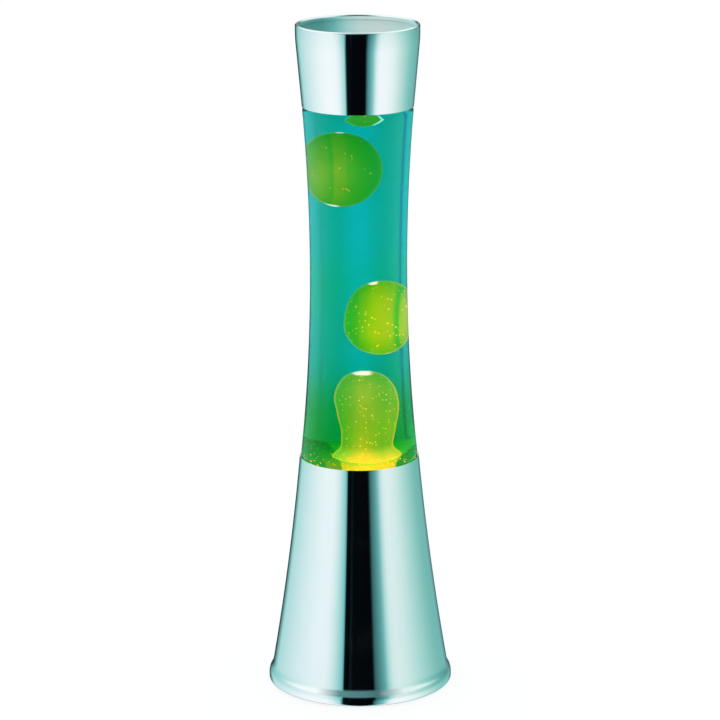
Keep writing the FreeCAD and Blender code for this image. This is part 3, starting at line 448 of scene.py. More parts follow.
def handling_group():
    """Finger smears and fine dust on a polished face: roughness, tone and height."""
    tree, nodes, start, end = new_group(
        "handling", [("Scale", 60.0), ("Clean", 0.03), ("Smeared", 0.09)],
        [("Roughness", "NodeSocketFloat"), ("Tone", "NodeSocketFloat"), ("Height", "NodeSocketFloat")])
    place = nodes.add("ShaderNodeTexCoord")
    smear = nodes.add("ShaderNodeTexNoise")
    smear.inputs["Detail"].default_value = 5
    smear.inputs["Distortion"].default_value = 0.6
    nodes.link(place.outputs["Object"], smear.inputs["Vector"])
    nodes.link(start.outputs["Scale"], smear.inputs["Scale"])
    spread = nodes.add("ShaderNodeMapRange", interpolation_type="SMOOTHSTEP")
    spread.inputs["From Min"].default_value = 0.45
    spread.inputs["From Max"].default_value = 0.72
    nodes.link(smear.outputs[0], spread.inputs["Value"])
    nodes.link(start.outputs["Clean"], spread.inputs["To Min"])
    nodes.link(start.outputs["Smeared"], spread.inputs["To Max"])
    nodes.link(spread.outputs[0], end.inputs["Roughness"])
    nodes.link(smear.outputs[0], end.inputs["Tone"])
    ripple = nodes.add("ShaderNodeTexNoise")
    ripple.inputs["Detail"].default_value = 2
    nodes.link(place.outputs["Object"], ripple.inputs["Vector"])
    nodes.link(nodes.math("MULTIPLY", start.outputs["Scale"], 0.4), ripple.inputs["Scale"])
    nodes.link(ripple.outputs[0], end.inputs["Height"])
    return tree


def grain_group():
    """Fine grain of plated, cast or moulded faces: a mask and a height."""
    tree, nodes, start, end = new_group(
        "grain", [("Scale", 900.0), ("Stretch", 1.0)],
        [("Mask", "NodeSocketFloat"), ("Height", "NodeSocketFloat")])
    place = nodes.add("ShaderNodeTexCoord")
    squeeze = nodes.add("ShaderNodeVectorMath", operation="MULTIPLY")
    sizes = nodes.add("ShaderNodeCombineXYZ")
    for axis in ("X", "Y"):
        sizes.inputs[axis].default_value = 1.0
    nodes.link(start.outputs["Stretch"], sizes.inputs["Z"])
    nodes.link(place.outputs["Object"], squeeze.inputs[0])
    nodes.link(sizes.outputs[0], squeeze.inputs[1])
    fine = nodes.add("ShaderNodeTexNoise")
    fine.inputs["Detail"].default_value = 4
    nodes.link(squeeze.outputs[0], fine.inputs["Vector"])
    nodes.link(start.outputs["Scale"], fine.inputs["Scale"])
    nodes.link(fine.outputs[0], end.inputs["Height"])
    broad = nodes.add("ShaderNodeTexVoronoi")
    nodes.link(squeeze.outputs[0], broad.inputs["Vector"])
    nodes.link(nodes.math("MULTIPLY", start.outputs["Scale"], 0.3), broad.inputs["Scale"])
    nodes.link(broad.outputs["Distance"], end.inputs["Mask"])
    return tree


def height_group():
    """Share of the way from Low to High that a point's height is."""
    tree, nodes, start, end = new_group(
        "height_share", [("Low", 0.0), ("High", 0.395)], [("Share", "NodeSocketFloat")])
    place = nodes.add("ShaderNodeTexCoord")
    axes = nodes.add("ShaderNodeSeparateXYZ")
    nodes.link(place.outputs["Object"], axes.inputs[0])
    spread = nodes.add("ShaderNodeMapRange")
    nodes.link(axes.outputs["Z"], spread.inputs["Value"])
    nodes.link(start.outputs["Low"], spread.inputs["From Min"])
    nodes.link(start.outputs["High"], spread.inputs["From Max"])
    nodes.link(spread.outputs[0], end.inputs["Share"])
    return tree


def speck_group():
    """Small scattered specks, such as bubbles and crumbs in wax: a mask."""
    tree, nodes, start, end = new_group(
        "specks", [("Scale", 300.0), ("Size", 0.10), ("Share", 0.25)], [("Mask", "NodeSocketFloat")])
    place = nodes.add("ShaderNodeTexCoord")
    cells = nodes.add("ShaderNodeTexVoronoi")
    nodes.link(place.outputs["Object"], cells.inputs["Vector"])
    nodes.link(start.outputs["Scale"], cells.inputs["Scale"])
    inside = nodes.math("LESS_THAN", cells.outputs["Distance"], start.outputs["Size"])
    shade = nodes.add("ShaderNodeSeparateColor")
    nodes.link(cells.outputs["Color"], shade.inputs[0])
    chosen = nodes.math("LESS_THAN", shade.outputs[0], start.outputs["Share"])
    nodes.link(nodes.math("MULTIPLY", inside, chosen), end.inputs["Mask"])
    return tree


def painted_highlight_group():
    """Painted highlight: a soft patch on the skin of a rounded body, told by the way the skin faces."""
    tree, nodes, start, end = new_group(
        "painted_highlight",
        [("Side", 0.0), ("Width", 0.2), ("Rise", 1.0), ("Low", 0.95), ("High", 0.99), ("Front", 1.0)],
        [("Mask", "NodeSocketFloat")])
    place = nodes.add("ShaderNodeTexCoord")
    axes = nodes.add("ShaderNodeSeparateXYZ")
    nodes.link(place.outputs["Normal"], axes.inputs[0])

    def soft(value, low, high):
        spread = nodes.add("ShaderNodeMapRange", interpolation_type="SMOOTHSTEP")
        for socket, source in (("Value", value), ("From Min", low), ("From Max", high)):
            nodes.link(source, spread.inputs[socket])
        return spread.outputs[0]

    rise = nodes.math("MULTIPLY", axes.outputs["Z"], start.outputs["Rise"])
    level = soft(rise, start.outputs["Low"], start.outputs["High"])
    away = nodes.math("ABSOLUTE", nodes.math("SUBTRACT", axes.outputs["X"], start.outputs["Side"]))
    within = soft(away, start.outputs["Width"], nodes.math("MULTIPLY", start.outputs["Width"], 0.4))
    front = nodes.math("MULTIPLY", axes.outputs["Y"], -1.0)
    behind = nodes.math("ADD", start.outputs["Front"], 0.12)
    near = soft(front, behind, start.outputs["Front"])
    nodes.link(nodes.math("MULTIPLY", nodes.math("MULTIPLY", level, within), near), end.inputs["Mask"])
    return tree


GROUPS = {"handling": handling_group(), "grain": grain_group(), "height": height_group(),
          "specks": speck_group(), "painted_highlight": painted_highlight_group()}


def use_group(nodes, group, **values):
    """Place a shared group in a material with its own values."""
    node = nodes.add("ShaderNodeGroup", node_tree=GROUPS[group])
    for socket, value in values.items():
        node.inputs[socket].default_value = value
    return node


def bump(nodes, shader, height, strength, distance):
    """Feed a height through a Bump node into the shader's normal."""
    node = nodes.add("ShaderNodeBump")
    node.inputs["Strength"].default_value = strength
    node.inputs["Distance"].default_value = distance
    nodes.link(height, node.inputs["Height"])
    nodes.link(node.outputs[0], shader.inputs["Normal"])


def across(nodes, reach):
    """Share of the way from -reach to reach along X."""
    place = nodes.add("ShaderNodeTexCoord")
    axes = nodes.add("ShaderNodeSeparateXYZ")
    nodes.link(place.outputs["Object"], axes.inputs[0])
    spread = nodes.add("ShaderNodeMapRange")
    spread.inputs["From Min"].default_value = -reach
    spread.inputs["From Max"].default_value = reach
    nodes.link(axes.outputs["X"], spread.inputs["Value"])
    return spread.outputs[0]


def roughen(nodes, shader, source, low, high):
    """Roughness from low to high as the source goes from 0 to 1."""
    rough = nodes.add("ShaderNodeMapRange")
    rough.inputs["To Min"].default_value = low
    rough.inputs["To Max"].default_value = high
    nodes.link(source, rough.inputs["Value"])
    nodes.link(rough.outputs[0], shader.inputs["Roughness"])


def mirror_chrome():
    """Bright chrome plate with the faintest smears."""
    made, nodes, shader, _ = new_material("mirror_chrome")
    marks = use_group(nodes, "handling", Scale=38.0, Clean=0.012, Smeared=0.04)
    tone = nodes.ramp(marks.outputs["Tone"], [(0.3, (0.96, 0.985, 0.985, 1)), (0.7, (0.99, 1.0, 1.0, 1))])
    nodes.link(tone, shader.inputs["Base Color"])
    nodes.link(marks.outputs["Roughness"], shader.inputs["Roughness"])
    shader.inputs["Metallic"].default_value = 1.0
    return made


def satin_chrome_painted_shade():
    """Pale satin lacquer over brushed metal, as inside a spun cap, with light and shade painted across it
    from side to side.
    """
    made, nodes, shader, _ = new_material("satin_chrome_painted_shade")
    grain = use_group(nodes, "grain", Scale=160.0, Stretch=30.0)
    tone = nodes.ramp(grain.outputs["Height"], [(0.35, (0.92, 0.96, 0.96, 1)), (0.65, (0.97, 0.99, 0.99, 1))])
    # Painted light and shade across the satin.
    painted_shade = nodes.ramp(across(nodes, SATIN_REACH), SATIN_PAINTED_SHADE)
    nodes.link(nodes.mix(1.0, tone, painted_shade, "MULTIPLY"), shader.inputs["Base Color"])
    roughen(nodes, shader, grain.outputs["Height"], 0.30, 0.40)
    bump(nodes, shader, grain.outputs["Height"], 0.15, 0.00005)
    shader.inputs["Metallic"].default_value = 0.1
    return made


def metal(name, dark, light, clean, worn, scale=260.0, stretch=1.0, height=0.2):
    """Plain metal part: plated, drawn or turned."""
    made, nodes, shader, _ = new_material(name)
    grain = use_group(nodes, "grain", Scale=scale, Stretch=stretch)
    nodes.link(nodes.ramp(grain.outputs["Mask"], [(0.1, dark), (0.8, light)]), shader.inputs["Base Color"])
    roughen(nodes, shader, grain.outputs["Height"], clean, worn)
    bump(nodes, shader, grain.outputs["Height"], height, 0.0001)
    shader.inputs["Metallic"].default_value = 1.0
    return made


def moulded(name, dark, light, rough_low, rough_high, scale=900.0, height=0.25, coat=0.0):
    """Rubber, plastic, porcelain or enamel."""
    made, nodes, shader, _ = new_material(name)
    grain = use_group(nodes, "grain", Scale=scale)
    nodes.link(nodes.ramp(grain.outputs["Height"], [(0.3, dark), (0.7, light)]), shader.inputs["Base Color"])
    roughen(nodes, shader, grain.outputs["Mask"], rough_low, rough_high)
    bump(nodes, shader, grain.outputs["Height"], height, 0.0001)
    shader.inputs["Coat Weight"].default_value = coat
    return made


def bottle_glass():
    """Thick clear glass with a slight cord in it."""
    made, nodes, shader, _ = new_material("bottle_glass")
    marks = use_group(nodes, "handling", Scale=24.0, Clean=0.0, Smeared=0.012)
    tone = nodes.ramp(marks.outputs["Tone"], [(0.3, (0.97, 1.0, 0.99, 1)), (0.7, (1.0, 1.0, 1.0, 1))])
    nodes.link(tone, shader.inputs["Base Color"])
    nodes.link(marks.outputs["Roughness"], shader.inputs["Roughness"])
    bump(nodes, shader, marks.outputs["Height"], 0.04, 0.0004)
    shader.inputs["Transmission Weight"].default_value = 1.0
    shader.inputs["IOR"].default_value = GLASS_IOR
    shader.inputs["Specular Tint"].default_value = (0.05, 0.05, 0.05, 1)
    return made


def teal_liquid(low, high):
    """Dyed liquid, with the glow of the wax and the bulb painted in as a greener tint towards them."""
    made, nodes, shader, output = new_material("teal_liquid")
    share = use_group(nodes, "height", Low=low, High=high)
    # Painted glow of the wax and the bulb, as a tint by height.
    foot, top = LIQUID_PAINTED_GLOW[0][0], LIQUID_PAINTED_GLOW[-1][0]
    stops = [((z - foot) / (top - foot), colour) for z, colour in LIQUID_PAINTED_GLOW]
    nodes.link(nodes.ramp(share.outputs[0], stops), shader.inputs["Base Color"])
    shader.inputs["Roughness"].default_value = 0.0
    shader.inputs["Transmission Weight"].default_value = 1.0
    shader.inputs["IOR"].default_value = LIQUID_IOR
    shader.inputs["Specular Tint"].default_value = (0.0, 0.0, 0.0, 1)
    dye = nodes.add("ShaderNodeVolumeAbsorption")
    dye.inputs["Color"].default_value = DYE
    dye.inputs["Density"].default_value = DYE_DENSITY
    nodes.link(dye.outputs[0], output.inputs["Volume"])
    return made


def lit_wax(name, node, glow_heights, sides, painted_highlights, rim, sparkle_amount):
    """Wax with the bulb's light through it painted in as glow, brighter low down, with painted bands of light
    and shade, bubbles painted as bright sparkles, painted highlights and a painted rim light.
    """
    made, nodes, shader, _ = new_material(name)
    low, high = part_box(node)
    share = use_group(nodes, "height", Low=low[2], High=high[2])
    # Painted glow of the bulb, brighter low down.
    body = nodes.ramp(share.outputs[0], glow_heights)
    # Painted bands of light and shade across the wax.
    painted_band_stops = [((x / WAX_REACH + 1) / 2, (*colour, 1)) for x, *colour in sides]
    body = nodes.mix(1.0, body, nodes.ramp(across(nodes, WAX_REACH * MM), painted_band_stops), "MULTIPLY")
    place = nodes.add("ShaderNodeTexCoord")
    cloud = nodes.add("ShaderNodeTexNoise")
    cloud.inputs["Scale"].default_value = 70.0
    cloud.inputs["Detail"].default_value = 3
    nodes.link(place.outputs["Object"], cloud.inputs["Vector"])
    shade = nodes.ramp(cloud.outputs[0], [(0.35, (0.80, 0.94, 0.9, 1)), (0.65, (1.12, 1.03, 1.0, 1))])
    body = nodes.mix(0.7, body, shade, "MULTIPLY")
    # Bubbles in the wax, painted as bright sparkles of glow.
    for scale, size, some in SPECK_LAYERS:
        sparkle_specks = use_group(nodes, "specks", Scale=scale, Size=size * math.sqrt(sparkle_amount), Share=some * sparkle_amount)
        body = nodes.mix(sparkle_specks.outputs[0], body, SPECK_SPARKLE_COLOUR)
    # Painted rim light along the edges of the wax.
    edge = nodes.add("ShaderNodeLayerWeight")
    edge.inputs["Blend"].default_value = 0.5
    line = nodes.add("ShaderNodeMapRange", interpolation_type="SMOOTHSTEP")
    line.inputs["From Min"].default_value, line.inputs["From Max"].default_value = PAINTED_RIM_FACING
    line.inputs["To Max"].default_value = rim
    nodes.link(edge.outputs["Facing"], line.inputs["Value"])
    body = nodes.mix(line.outputs[0], body, PAINTED_RIM_LIGHT_COLOUR)
    # Painted highlights on the wax.
    for red, painted_highlight in painted_highlights:
        highlight_mask = use_group(nodes, "painted_highlight", **painted_highlight)
        body = nodes.mix(highlight_mask.outputs[0], body, (red, PAINTED_HIGHLIGHT_GREEN, PAINTED_HIGHLIGHT_BLUE, 1))
    # The painted glow is the wax's emission and, darkened, its base colour.
    nodes.link(nodes.mix(1.0, body, (0.30, 0.22, 0.2, 1), "MULTIPLY"), shader.inputs["Base Color"])
    nodes.link(body, shader.inputs["Emission Color"])
    shader.inputs["Emission Strength"].default_value = 0.85
    shader.inputs["Roughness"].default_value = 0.4
    shader.inputs["Specular IOR Level"].default_value = 0.2
    shader.inputs["Sheen Weight"].default_value = 0.25
    shader.inputs["Sheen Roughness"].default_value = 0.3
    shader.inputs["Sheen Tint"].default_value = (1.0, 0.95, 0.2, 1)
    bump(nodes, shader, cloud.outputs[0], 0.08, 0.0008)
    return made


def clear_lamp_glass(name, tint):
    """Thin blown glass of the bulb."""
    made, nodes, shader, _ = new_material(name)
    marks = use_group(nodes, "handling", Scale=90.0, Clean=0.02, Smeared=0.10)
    nodes.link(nodes.ramp(marks.outputs["Tone"], [(0.3, tint), (0.7, WHITE)]), shader.inputs["Base Color"])
    nodes.link(marks.outputs["Roughness"], shader.inputs["Roughness"])
    shader.inputs["Transmission Weight"].default_value = 1.0
    shader.inputs["IOR"].default_value = GLASS_IOR
    return made


def dress(piece, made):
    """Give a piece one material."""
    piece.data.materials.clear()
    piece.data.materials.append(made)


# ---------------------------------------------------------------- metal shells

def chromed_cone():
    """Base cone with its foot flange, curled lower edge and the gland's hole."""
    low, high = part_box("base_shell")
    top, foot, flange_r = high[2], low[2], high[0]
    side = Outline(SHELL_TOP_R, top)
    side.bow(SHELL_FOOT_R, foot + FLANGE_H, -SHELL_BOW, parts=40)
    side.ogee(flange_r, foot + FLANGE_BAND_H, 0, -1, parts=8)
    side.line(flange_r, foot + CURL_R)
    side.turn(flange_r - CURL_R, foot, parts=10)
    side.line(flange_r - CURL_R - CURL_LIP, foot)
    cone = sheet("chromed_cone", side, -SHELL_WALL)
    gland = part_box("cord_gland")
    width = (gland[1][0] - gland[0][0]) / 2
    bpy.ops.mesh.primitive_cylinder_add(
        vertices=48, radius=GLAND_HOLE_SHARE * width, depth=GLAND_PUNCH_L,
        location=(0, flange_r, gland[0][2] + width), rotation=(math.pi / 2, 0, 0))
    punch = bpy.context.object
    cut = cone.modifiers.new("gland_hole", "BOOLEAN")
    cut.object = punch
    deselect()
    bpy.context.view_layer.objects.active = cone
    bpy.ops.object.modifier_apply(modifier=cut.name)
    bpy.data.objects.remove(punch)
    return settle(cone, angle=50)


def flared_cap():
    """Cap that flares upwards with its rim rolled inwards; its inside is satin."""
    low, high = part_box("cap_shell")
    foot, top, rim_r = low[2], high[2], high[0]
    lean = (rim_r - CAP_FOOT_R) / (top - foot - CAP_HEM_R - CAP_BAND_H - CAP_BEND_H / 2)
    bend = top - CAP_HEM_R - CAP_BAND_H - CAP_BEND_H
    side = Outline(CAP_FOOT_R, foot)
    side.line(CAP_FOOT_R + lean * (bend - foot), bend, parts=6)
    side.ogee(rim_r, bend + CAP_BEND_H, 0, 1, parts=8)
    side.line(rim_r, top - CAP_HEM_R)
    side.turn(rim_r - CAP_HEM_R, top, parts=10)
    side.turn(rim_r - 2 * CAP_HEM_R, top - CAP_HEM_R, parts=10)
    side.line(rim_r - 2 * CAP_HEM_R, top - CAP_HEM_R - CAP_HEM_TUCK)
    cap = sheet("flared_cap", side, SHELL_WALL)
    cap.data.materials.append(None)
    cap.data.materials.append(None)
    for face in cap.data.polygons:
        inward = face.normal.xy.dot(face.center.xy) < 0
        face.material_index = 1 if inward and face.center.z < top - CAP_HEM_R else 0
    return settle(cap, angle=50)


# ---------------------------------------------------------------- bottle and filling

def bottle_side():
    """Outer face of the bottle, from the middle of its punt to its lip."""
    low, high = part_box("bottle")
    foot, lip = low[2], high[2]
    shell_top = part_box("base_shell")[1][2]
    glass_r = SHELL_TOP_R - SHELL_WALL - COLLAR_GAP
    punt_r = glass_r - HEEL_R - FOOT_RING_W
    swell_r, swell_z = glass_r + SWELL, shell_top + SWELL_H
    waist_z, shoulder_z = foot + WAIST_H, foot + SHOULDER_H
    lean = 2 * (swell_r - WAIST_R) / (waist_z - swell_z)
    slope = SHOULDER_SLOPE
    start_r = SHOULDER_R - SHOULDER_ROUND * (1 - math.sin(slope))
    start_z = shoulder_z + SHOULDER_ROUND * math.cos(slope)
    neck_r = NECK_R + NECK_ROUND * (1 - math.sin(slope))
    neck_z = start_z + (start_r - neck_r) * math.tan(slope)
    side = Outline(0, foot + PUNT_H)
    side.bow(punt_r, foot, PUNT_BOW, parts=12)
    side.line(punt_r + FOOT_RING_W, foot, parts=2)
    side.turn(glass_r, foot + HEEL_R, parts=10)
    side.line(glass_r, shell_top)
    side.ogee(swell_r, swell_z, -lean, 1, parts=5)
    side.bow(WAIST_R, waist_z, (swell_r - WAIST_R) / 4, parts=36)
    side.bow(SHOULDER_R, shoulder_z, (SHOULDER_R - WAIST_R) / 4, parts=30)
    side.ogee(start_r, start_z, -math.cos(slope), math.sin(slope), parts=6)
    side.line(neck_r, neck_z, parts=3)
    side.ogee(NECK_R, neck_z + NECK_ROUND * math.cos(slope), 0, 1, parts=6)
    side.line(NECK_R, lip - LIP_H)
    return side


def waisted_bottle(side):
    """Thick glass with its punt, waist, shoulder and rounded lip."""
    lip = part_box("bottle")[1][2]
    inner = side.offset(GLASS_WALL)
    rim = Outline(NECK_R, lip - LIP_H)
    rim.line(LIP_R - LIP_EDGE_R, lip - LIP_H)
    rim.turn(LIP_R, lip - LIP_H + LIP_EDGE_R, parts=5)
    rim.line(LIP_R, lip - LIP_EDGE_R)
    rim.turn(LIP_R - LIP_EDGE_R, lip, parts=5)
    rim.line(NECK_R - GLASS_WALL, lip)
    glass = lathe("waisted_bottle", side.points + rim.points[1:] + inner[::-1])
    return settle(glass, angle=40)


def filled_to(level, outline, past_r=0.0):
    """The outline up to where it crosses the level beyond past_r."""
    points = [outline[0]]
    for before, point in zip(outline, outline[1:]):
        if point.y > level and before.x > past_r:
            share = (level - before.y) / (point.y - before.y)
            return points + [before.lerp(point, share)]
        points.append(point)
    return points


def liquid_hull(side):
    """The liquid, right up to the glass, with the wax and the coil inside it."""
    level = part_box("liquid")[1][2]
    points = filled_to(level, side.offset(GLASS_WALL - LIQUID_BITE))
    edge = points[-1].x
    points.append(Vector((edge * 0.6, level)))
    points.append(Vector((0.0, level)))
    hull = lathe("teal_liquid", points)
    return settle(hull, angle=40)


def move_aside(piece, x, y):
    """Move a turned piece sideways off the lamp's axis."""
    deselect()
    piece.select_set(True)
    bpy.context.view_layer.objects.active = piece
    bpy.ops.transform.translate(value=(x, y, 0))
    bpy.ops.object.transform_apply(location=True, rotation=True, scale=True)
    deselect()


def wax_egg(name, node, point_share):
    """Upright egg of wax in the box of its solid; a point share over 1 puts its widest ring lower."""
    low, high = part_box(node)
    radius = (high[0] - low[0]) / 2
    half = (high[2] - low[2]) / 2
    middle = (high[2] + low[2]) / 2
    body = Outline(0, low[2])
    body.head(1, 0)
    body.ogee(radius, middle - half * (point_share - 1), 0, 1, parts=16)
    body.ogee(0, high[2], -1, 0, parts=16)
    egg = lathe(name, body.points, steps=WAX_STEPS)
    move_aside(egg, (high[0] + low[0]) / 2, (high[1] + low[1]) / 2)
    return egg


def top_wax():
    """Wax gathered under the liquid's level."""
    low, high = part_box("wax_top")
    body = Outline(0, low[2])
    body.head(1, 0)
    body.ogee(TOP_WAX_R, low[2] + TOP_WAX_HALF_H, 0, 1, parts=16)
    level = high[2] - TOP_WAX_LEVEL_GAP
    body.line(TOP_WAX_R - TOP_WAX_EDGE, level)
    body.line(TOP_WAX_R / 2, level)
    body.line(0, level)
    wax = lathe("wax_top_blob", body.points, steps=WAX_STEPS)
    move_aside(wax, TOP_WAX_X, 0)
    return wax


def wax_pool(side):
    """Pool on the bottle's floor."""
    pool_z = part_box("bottle")[0][2] + POOL_H
    points = filled_to(pool_z, side.offset(GLASS_WALL + POOL_GAP), past_r=WAIST_R * 0.9)
    points.append(Vector((points[-1].x - POOL_EDGE_W, pool_z - POOL_EDGE_DIP)))
    points.append(Vector((COLUMN_FLARE_R, pool_z)))
    points.append(Vector((0.0, pool_z)))
    return lathe("wax_pool", points, steps=128)


def wax_column():
    """Column that rises from the pool, necked above its flare and rounded on top."""
    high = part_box("wax_column")[1]
    pool_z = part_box("bottle")[0][2] + POOL_H
    body = Outline(0, pool_z - COLUMN_ROOT)
    body.line(COLUMN_FLARE_R, pool_z - COLUMN_ROOT)
    body.head(-0.5, 1)
    body.ogee(COLUMN_NECK_R, pool_z + COLUMN_NECK_H, 0, 1, parts=12)
    body.ogee(COLUMN_HEAD_R, pool_z + COLUMN_HEAD_H, 0, 1, parts=12)
    body.ogee(0, high[2], -1, 0, parts=16)

    def lean(height):
        height /= MM
        for (below, *low), (above, *up) in zip(COLUMN_LEAN, COLUMN_LEAN[1:]):
            if height <= above:
                share = max(0.0, (height - below) / (above - below))
                return Vector(low).lerp(Vector(up), share * share * (3 - 2 * share)) * MM
        return Vector(COLUMN_LEAN[-1][1:]) * MM

    return lathe("wax_column_riser", body.points, steps=WAX_STEPS, lean=lean)


# ---------------------------------------------------------------- studio

def mirrored(nodes, path):
    """Share of a ray that comes off a polished face and not through glass."""
    solid = nodes.math("SUBTRACT", 1.0, path.outputs["Is Transmission Ray"])
    return nodes.math("MULTIPLY", path.outputs["Is Glossy Ray"], solid)


def studio_world():
    """White studio with a dark gap in front of the lamp, as the chrome mirrors it."""
    world = bpy.data.worlds.new("studio")
    bpy.context.scene.world = world
    world.use_nodes = True
    world.node_tree.nodes.clear()
    nodes = Nodes(world.node_tree)
    way = nodes.add("ShaderNodeTexCoord")
    axes = nodes.add("ShaderNodeSeparateXYZ")
    nodes.link(way.outputs["Generated"], axes.inputs[0])
    back = nodes.math("MULTIPLY", axes.outputs["Y"], -1.0)
    angle = nodes.math("ARCTAN2", axes.outputs["X"], back)
    share = nodes.math("ADD", nodes.math("DIVIDE", angle, 2 * math.pi), 0.5)

    def stops(table):
        return [((azimuth + 180) / 360, srgb(*colour)) for azimuth, colour in table]

    dip = nodes.add("ShaderNodeMapRange")
    dip.inputs["From Min"].default_value, dip.inputs["From Max"].default_value = LOW_ROOM_DIP
    nodes.link(axes.outputs["Z"], dip.inputs["Value"])
    level, lower = nodes.ramp(share, stops(LEVEL_ROOM)), nodes.ramp(share, stops(LOW_ROOM))
    gloss = nodes.mix(dip.outputs[0], level, lower)
    above = nodes.add("ShaderNodeMapRange", interpolation_type="SMOOTHSTEP")
    above.inputs["From Min"].default_value, above.inputs["From Max"].default_value = HIGH_ROOM_RISE
    nodes.link(axes.outputs["Z"], above.inputs["Value"])
    gloss = nodes.mix(above.outputs[0], gloss, nodes.ramp(share, stops(HIGH_ROOM)))
    path = nodes.add("ShaderNodeLightPath")
    through = nodes.ramp(share, stops(CLEAR_ROOM))
    seen = nodes.mix(path.outputs["Is Transmission Ray"], WHITE, through)
    seen = nodes.mix(path.outputs["Is Camera Ray"], seen, WHITE)
    seen = nodes.mix(path.outputs["Is Diffuse Ray"], seen, SOFT_ROOM)
    room = nodes.mix(mirrored(nodes, path), seen, gloss)
    light = nodes.add("ShaderNodeBackground")
    nodes.link(room, light.inputs["Color"])
    output = nodes.add("ShaderNodeOutputWorld")
    nodes.link(light.outputs[0], output.inputs["Surface"])


def studio_floor():
    """Pale floor that keeps the lamp's shadow and stays out of the chrome."""
    deselect()
    bpy.ops.mesh.primitive_plane_add(size=2.0, location=(0, 0, 0))
    floor = begin("floor")
    bpy.ops.mesh.subdivide(number_cuts=8)
    bpy.ops.transform.resize(value=(6, 6, 1), center_override=(0, 0, 0))
    settle(floor)
    made = bpy.data.materials.new("studio_floor")
    made.use_nodes = True
    made.node_tree.nodes.clear()
    nodes = Nodes(made.node_tree)
    path = nodes.add("ShaderNodeLightPath")
    matt = nodes.add("ShaderNodeBsdfDiffuse")
    matt.inputs["Color"].default_value = FLOOR_GREY
    lift = nodes.add("ShaderNodeEmission")
    lift.inputs["Color"].default_value = WHITE
    lift.inputs["Strength"].default_value = FLOOR_GLOW
    both = nodes.add("ShaderNodeAddShader")
    nodes.link(matt.outputs[0], both.inputs[0])
    nodes.link(lift.outputs[0], both.inputs[1])
    clear = nodes.add("ShaderNodeBsdfTransparent")
    gloss = nodes.add("ShaderNodeMixShader")
    nodes.link(path.outputs["Is Glossy Ray"], gloss.inputs[0])
    nodes.link(both.outputs[0], gloss.inputs[1])
    nodes.link(clear.outputs[0], gloss.inputs[2])
    output = nodes.add("ShaderNodeOutputMaterial")
    nodes.link(gloss.outputs[0], output.inputs["Surface"])
    dress(floor, made)


def studio_camera():
    """Camera in front of the lamp, a little above it and looking down."""
    lens = bpy.data.cameras.new("camera")
    lens.lens = CAMERA_LENS
    lens.sensor_width = 36.0
    lens.clip_end = 50.0
    camera = bpy.data.objects.new("camera", lens)
    camera.location = CAMERA_AT
    camera.rotation_euler = (Matrix.Rotation(math.pi / 2 - CAMERA_PITCH, 3, "X")
                             @ Matrix.Rotation(CAMERA_ROLL, 3, "Z")).to_euler()
    bpy.context.scene.collection.objects.link(camera)
    bpy.context.scene.camera = camera


# ---------------------------------------------------------------- the lamp

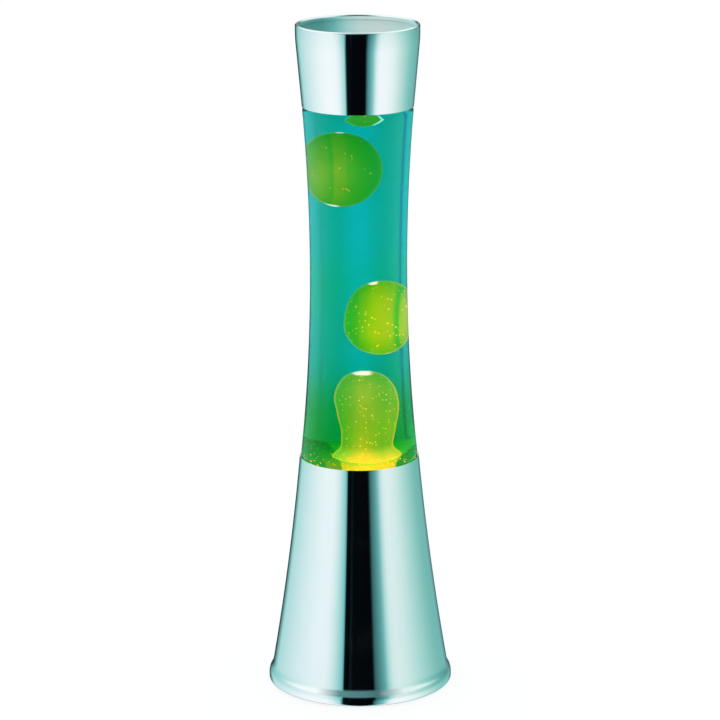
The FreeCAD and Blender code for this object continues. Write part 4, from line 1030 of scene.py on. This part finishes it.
def dress_nodes():
    """Materials of the pieces that keep their solid's mesh."""
    zinc = metal("zinc_plate", (0.55, 0.56, 0.53, 1), (0.72, 0.72, 0.68, 1), 0.28, 0.45, scale=700.0)
    inner_steel = metal("pressed_steel", (0.50, 0.51, 0.52, 1), (0.62, 0.63, 0.64, 1), 0.30, 0.5)
    brass = metal("brass", (0.78, 0.57, 0.25, 1), (0.88, 0.68, 0.33, 1), 0.18, 0.36, scale=500.0)
    solder = metal("solder", (0.50, 0.50, 0.50, 1), (0.70, 0.70, 0.69, 1), 0.30, 0.55, scale=900.0)
    wire = metal("lead_wire", (0.55, 0.52, 0.48, 1), (0.70, 0.67, 0.62, 1), 0.2, 0.4, scale=900.0)
    coil = metal("coil_steel", (0.42, 0.40, 0.38, 1), (0.60, 0.58, 0.55, 1), 0.25, 0.5, scale=900.0)
    gold = metal("gold_lacquer", (0.80, 0.62, 0.30, 1), (0.86, 0.70, 0.38, 1), 0.22, 0.34, scale=300.0)
    rubber = moulded("black_rubber", (0.012, 0.012, 0.013, 1), (0.028, 0.028, 0.03, 1), 0.65, 0.85)
    porcelain = moulded("porcelain", (0.80, 0.78, 0.72, 1), (0.88, 0.86, 0.82, 1), 0.12, 0.22, coat=0.6)
    dark_glass = moulded("dark_glass", (0.01, 0.008, 0.012, 1), (0.03, 0.02, 0.03, 1), 0.06, 0.15)
    white = moulded("white_plastic", (0.75, 0.75, 0.73, 1), (0.83, 0.83, 0.81, 1), 0.35, 0.5)
    black = moulded("black_plastic", (0.015, 0.015, 0.016, 1), (0.03, 0.03, 0.032, 1), 0.35, 0.5)
    blue = moulded("blue_silicone", (0.01, 0.06, 0.35, 1), (0.02, 0.09, 0.45, 1), 0.4, 0.55)
    brown = moulded("brown_silicone", (0.12, 0.04, 0.015, 1), (0.18, 0.06, 0.02, 1), 0.4, 0.55)
    soft = moulded("closure_liner", (0.55, 0.55, 0.50, 1), (0.65, 0.65, 0.60, 1), 0.5, 0.65)
    lamp = clear_lamp_glass("bulb_glass_clear", (0.93, 0.95, 0.95, 1))
    wear = {
        "base_plate": zinc, "plate_screws": zinc, "bracket_rivets": zinc, "holder_bracket": zinc,
        "holder_screws": zinc, "block_screw": zinc, "bottle_seat": inner_steel,
        "lampholder_body": porcelain, "lampholder_shell": brass, "centre_contact": brass,
        "terminal_block": white, "terminal_screws": brass, "live_lead": brown, "neutral_lead": blue,
        "cord_gland": black, "gland_nut": black, "bulb_tip": solder, "bulb_insulator": dark_glass,
        "bulb_screw_shell": brass, "bulb_glass": lamp, "bulb_stem": lamp, "bulb_lead_wires": wire,
        "bulb_filament": wire, "heat_coil": coil, "crown_cap": gold, "crown_liner": soft,
    }
    wear.update((f"mounting_lug_{k}", inner_steel) for k in (1, 2, 3))
    wear.update((f"rubber_foot_{k}", rubber) for k in (1, 2, 3, 4))
    for node, made in wear.items():
        dress(bpy.data.objects[node], made)


def build():
    """Model, dress and place everything."""
    chrome, satin = mirror_chrome(), satin_chrome_painted_shade()
    cone = chromed_cone()
    dress(cone, chrome)
    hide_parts("base_shell")
    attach(cone, "base")
    cap = flared_cap()
    cap.data.materials[0], cap.data.materials[1] = chrome, satin
    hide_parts("cap_shell")
    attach(cap, "cap")
    side = bottle_side()
    glass = waisted_bottle(side)
    dress(glass, bottle_glass())
    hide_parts("bottle")
    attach(glass, "bottle")
    filling = liquid_hull(side)
    low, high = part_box("liquid")
    dress(filling, teal_liquid(low[2], high[2]))
    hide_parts("liquid")
    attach(filling, "bottle")
    # Each body of wax: its piece, solid, body and material, its painted glow by height, painted bands,
    # painted highlights, painted rim light and share of sparkling bubbles
    waxes = (
        (wax_pool(side), "wax_column", "bottle", "pool_wax", POOL_PAINTED_GLOW, POOL_PAINTED_BANDS, [], 0.0, 1.0),
        (wax_column(), "wax_column", "bottle", "column_wax",
         COLUMN_PAINTED_GLOW, COLUMN_PAINTED_BANDS, COLUMN_PAINTED_HIGHLIGHTS, 0.7, 1.0),
        (wax_egg("wax_riser_middle", "wax_blob_middle", 1.2), "wax_blob_middle", "blob_middle", "middle_wax",
         MIDDLE_PAINTED_GLOW, MIDDLE_PAINTED_BANDS, MIDDLE_PAINTED_HIGHLIGHTS, 0.15, 0.75),
        (wax_egg("wax_riser_upper", "wax_blob_upper", 1.0), "wax_blob_upper", "blob_upper", "upper_wax",
         UPPER_PAINTED_GLOW, UPPER_PAINTED_BANDS, UPPER_PAINTED_HIGHLIGHTS, 0.05, 0.35),
        (top_wax(), "wax_top", "bottle", "top_wax", TOP_PAINTED_GLOW, TOP_PAINTED_BANDS, TOP_PAINTED_HIGHLIGHTS, 0.1, 0.4),
    )
    for piece, node, body, name, glow_heights, sides, painted_highlights, rim, sparkle_amount in waxes:
        dress(piece, lit_wax(name, node, glow_heights, sides, painted_highlights, rim, sparkle_amount))
        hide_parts(node)
        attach(piece, body)
    dress_nodes()
    dress(bpy.data.objects["cap_pan"], satin)
    studio_world()
    studio_floor()
    studio_camera()
    bpy.context.scene.view_settings.view_transform = "Standard"


build()
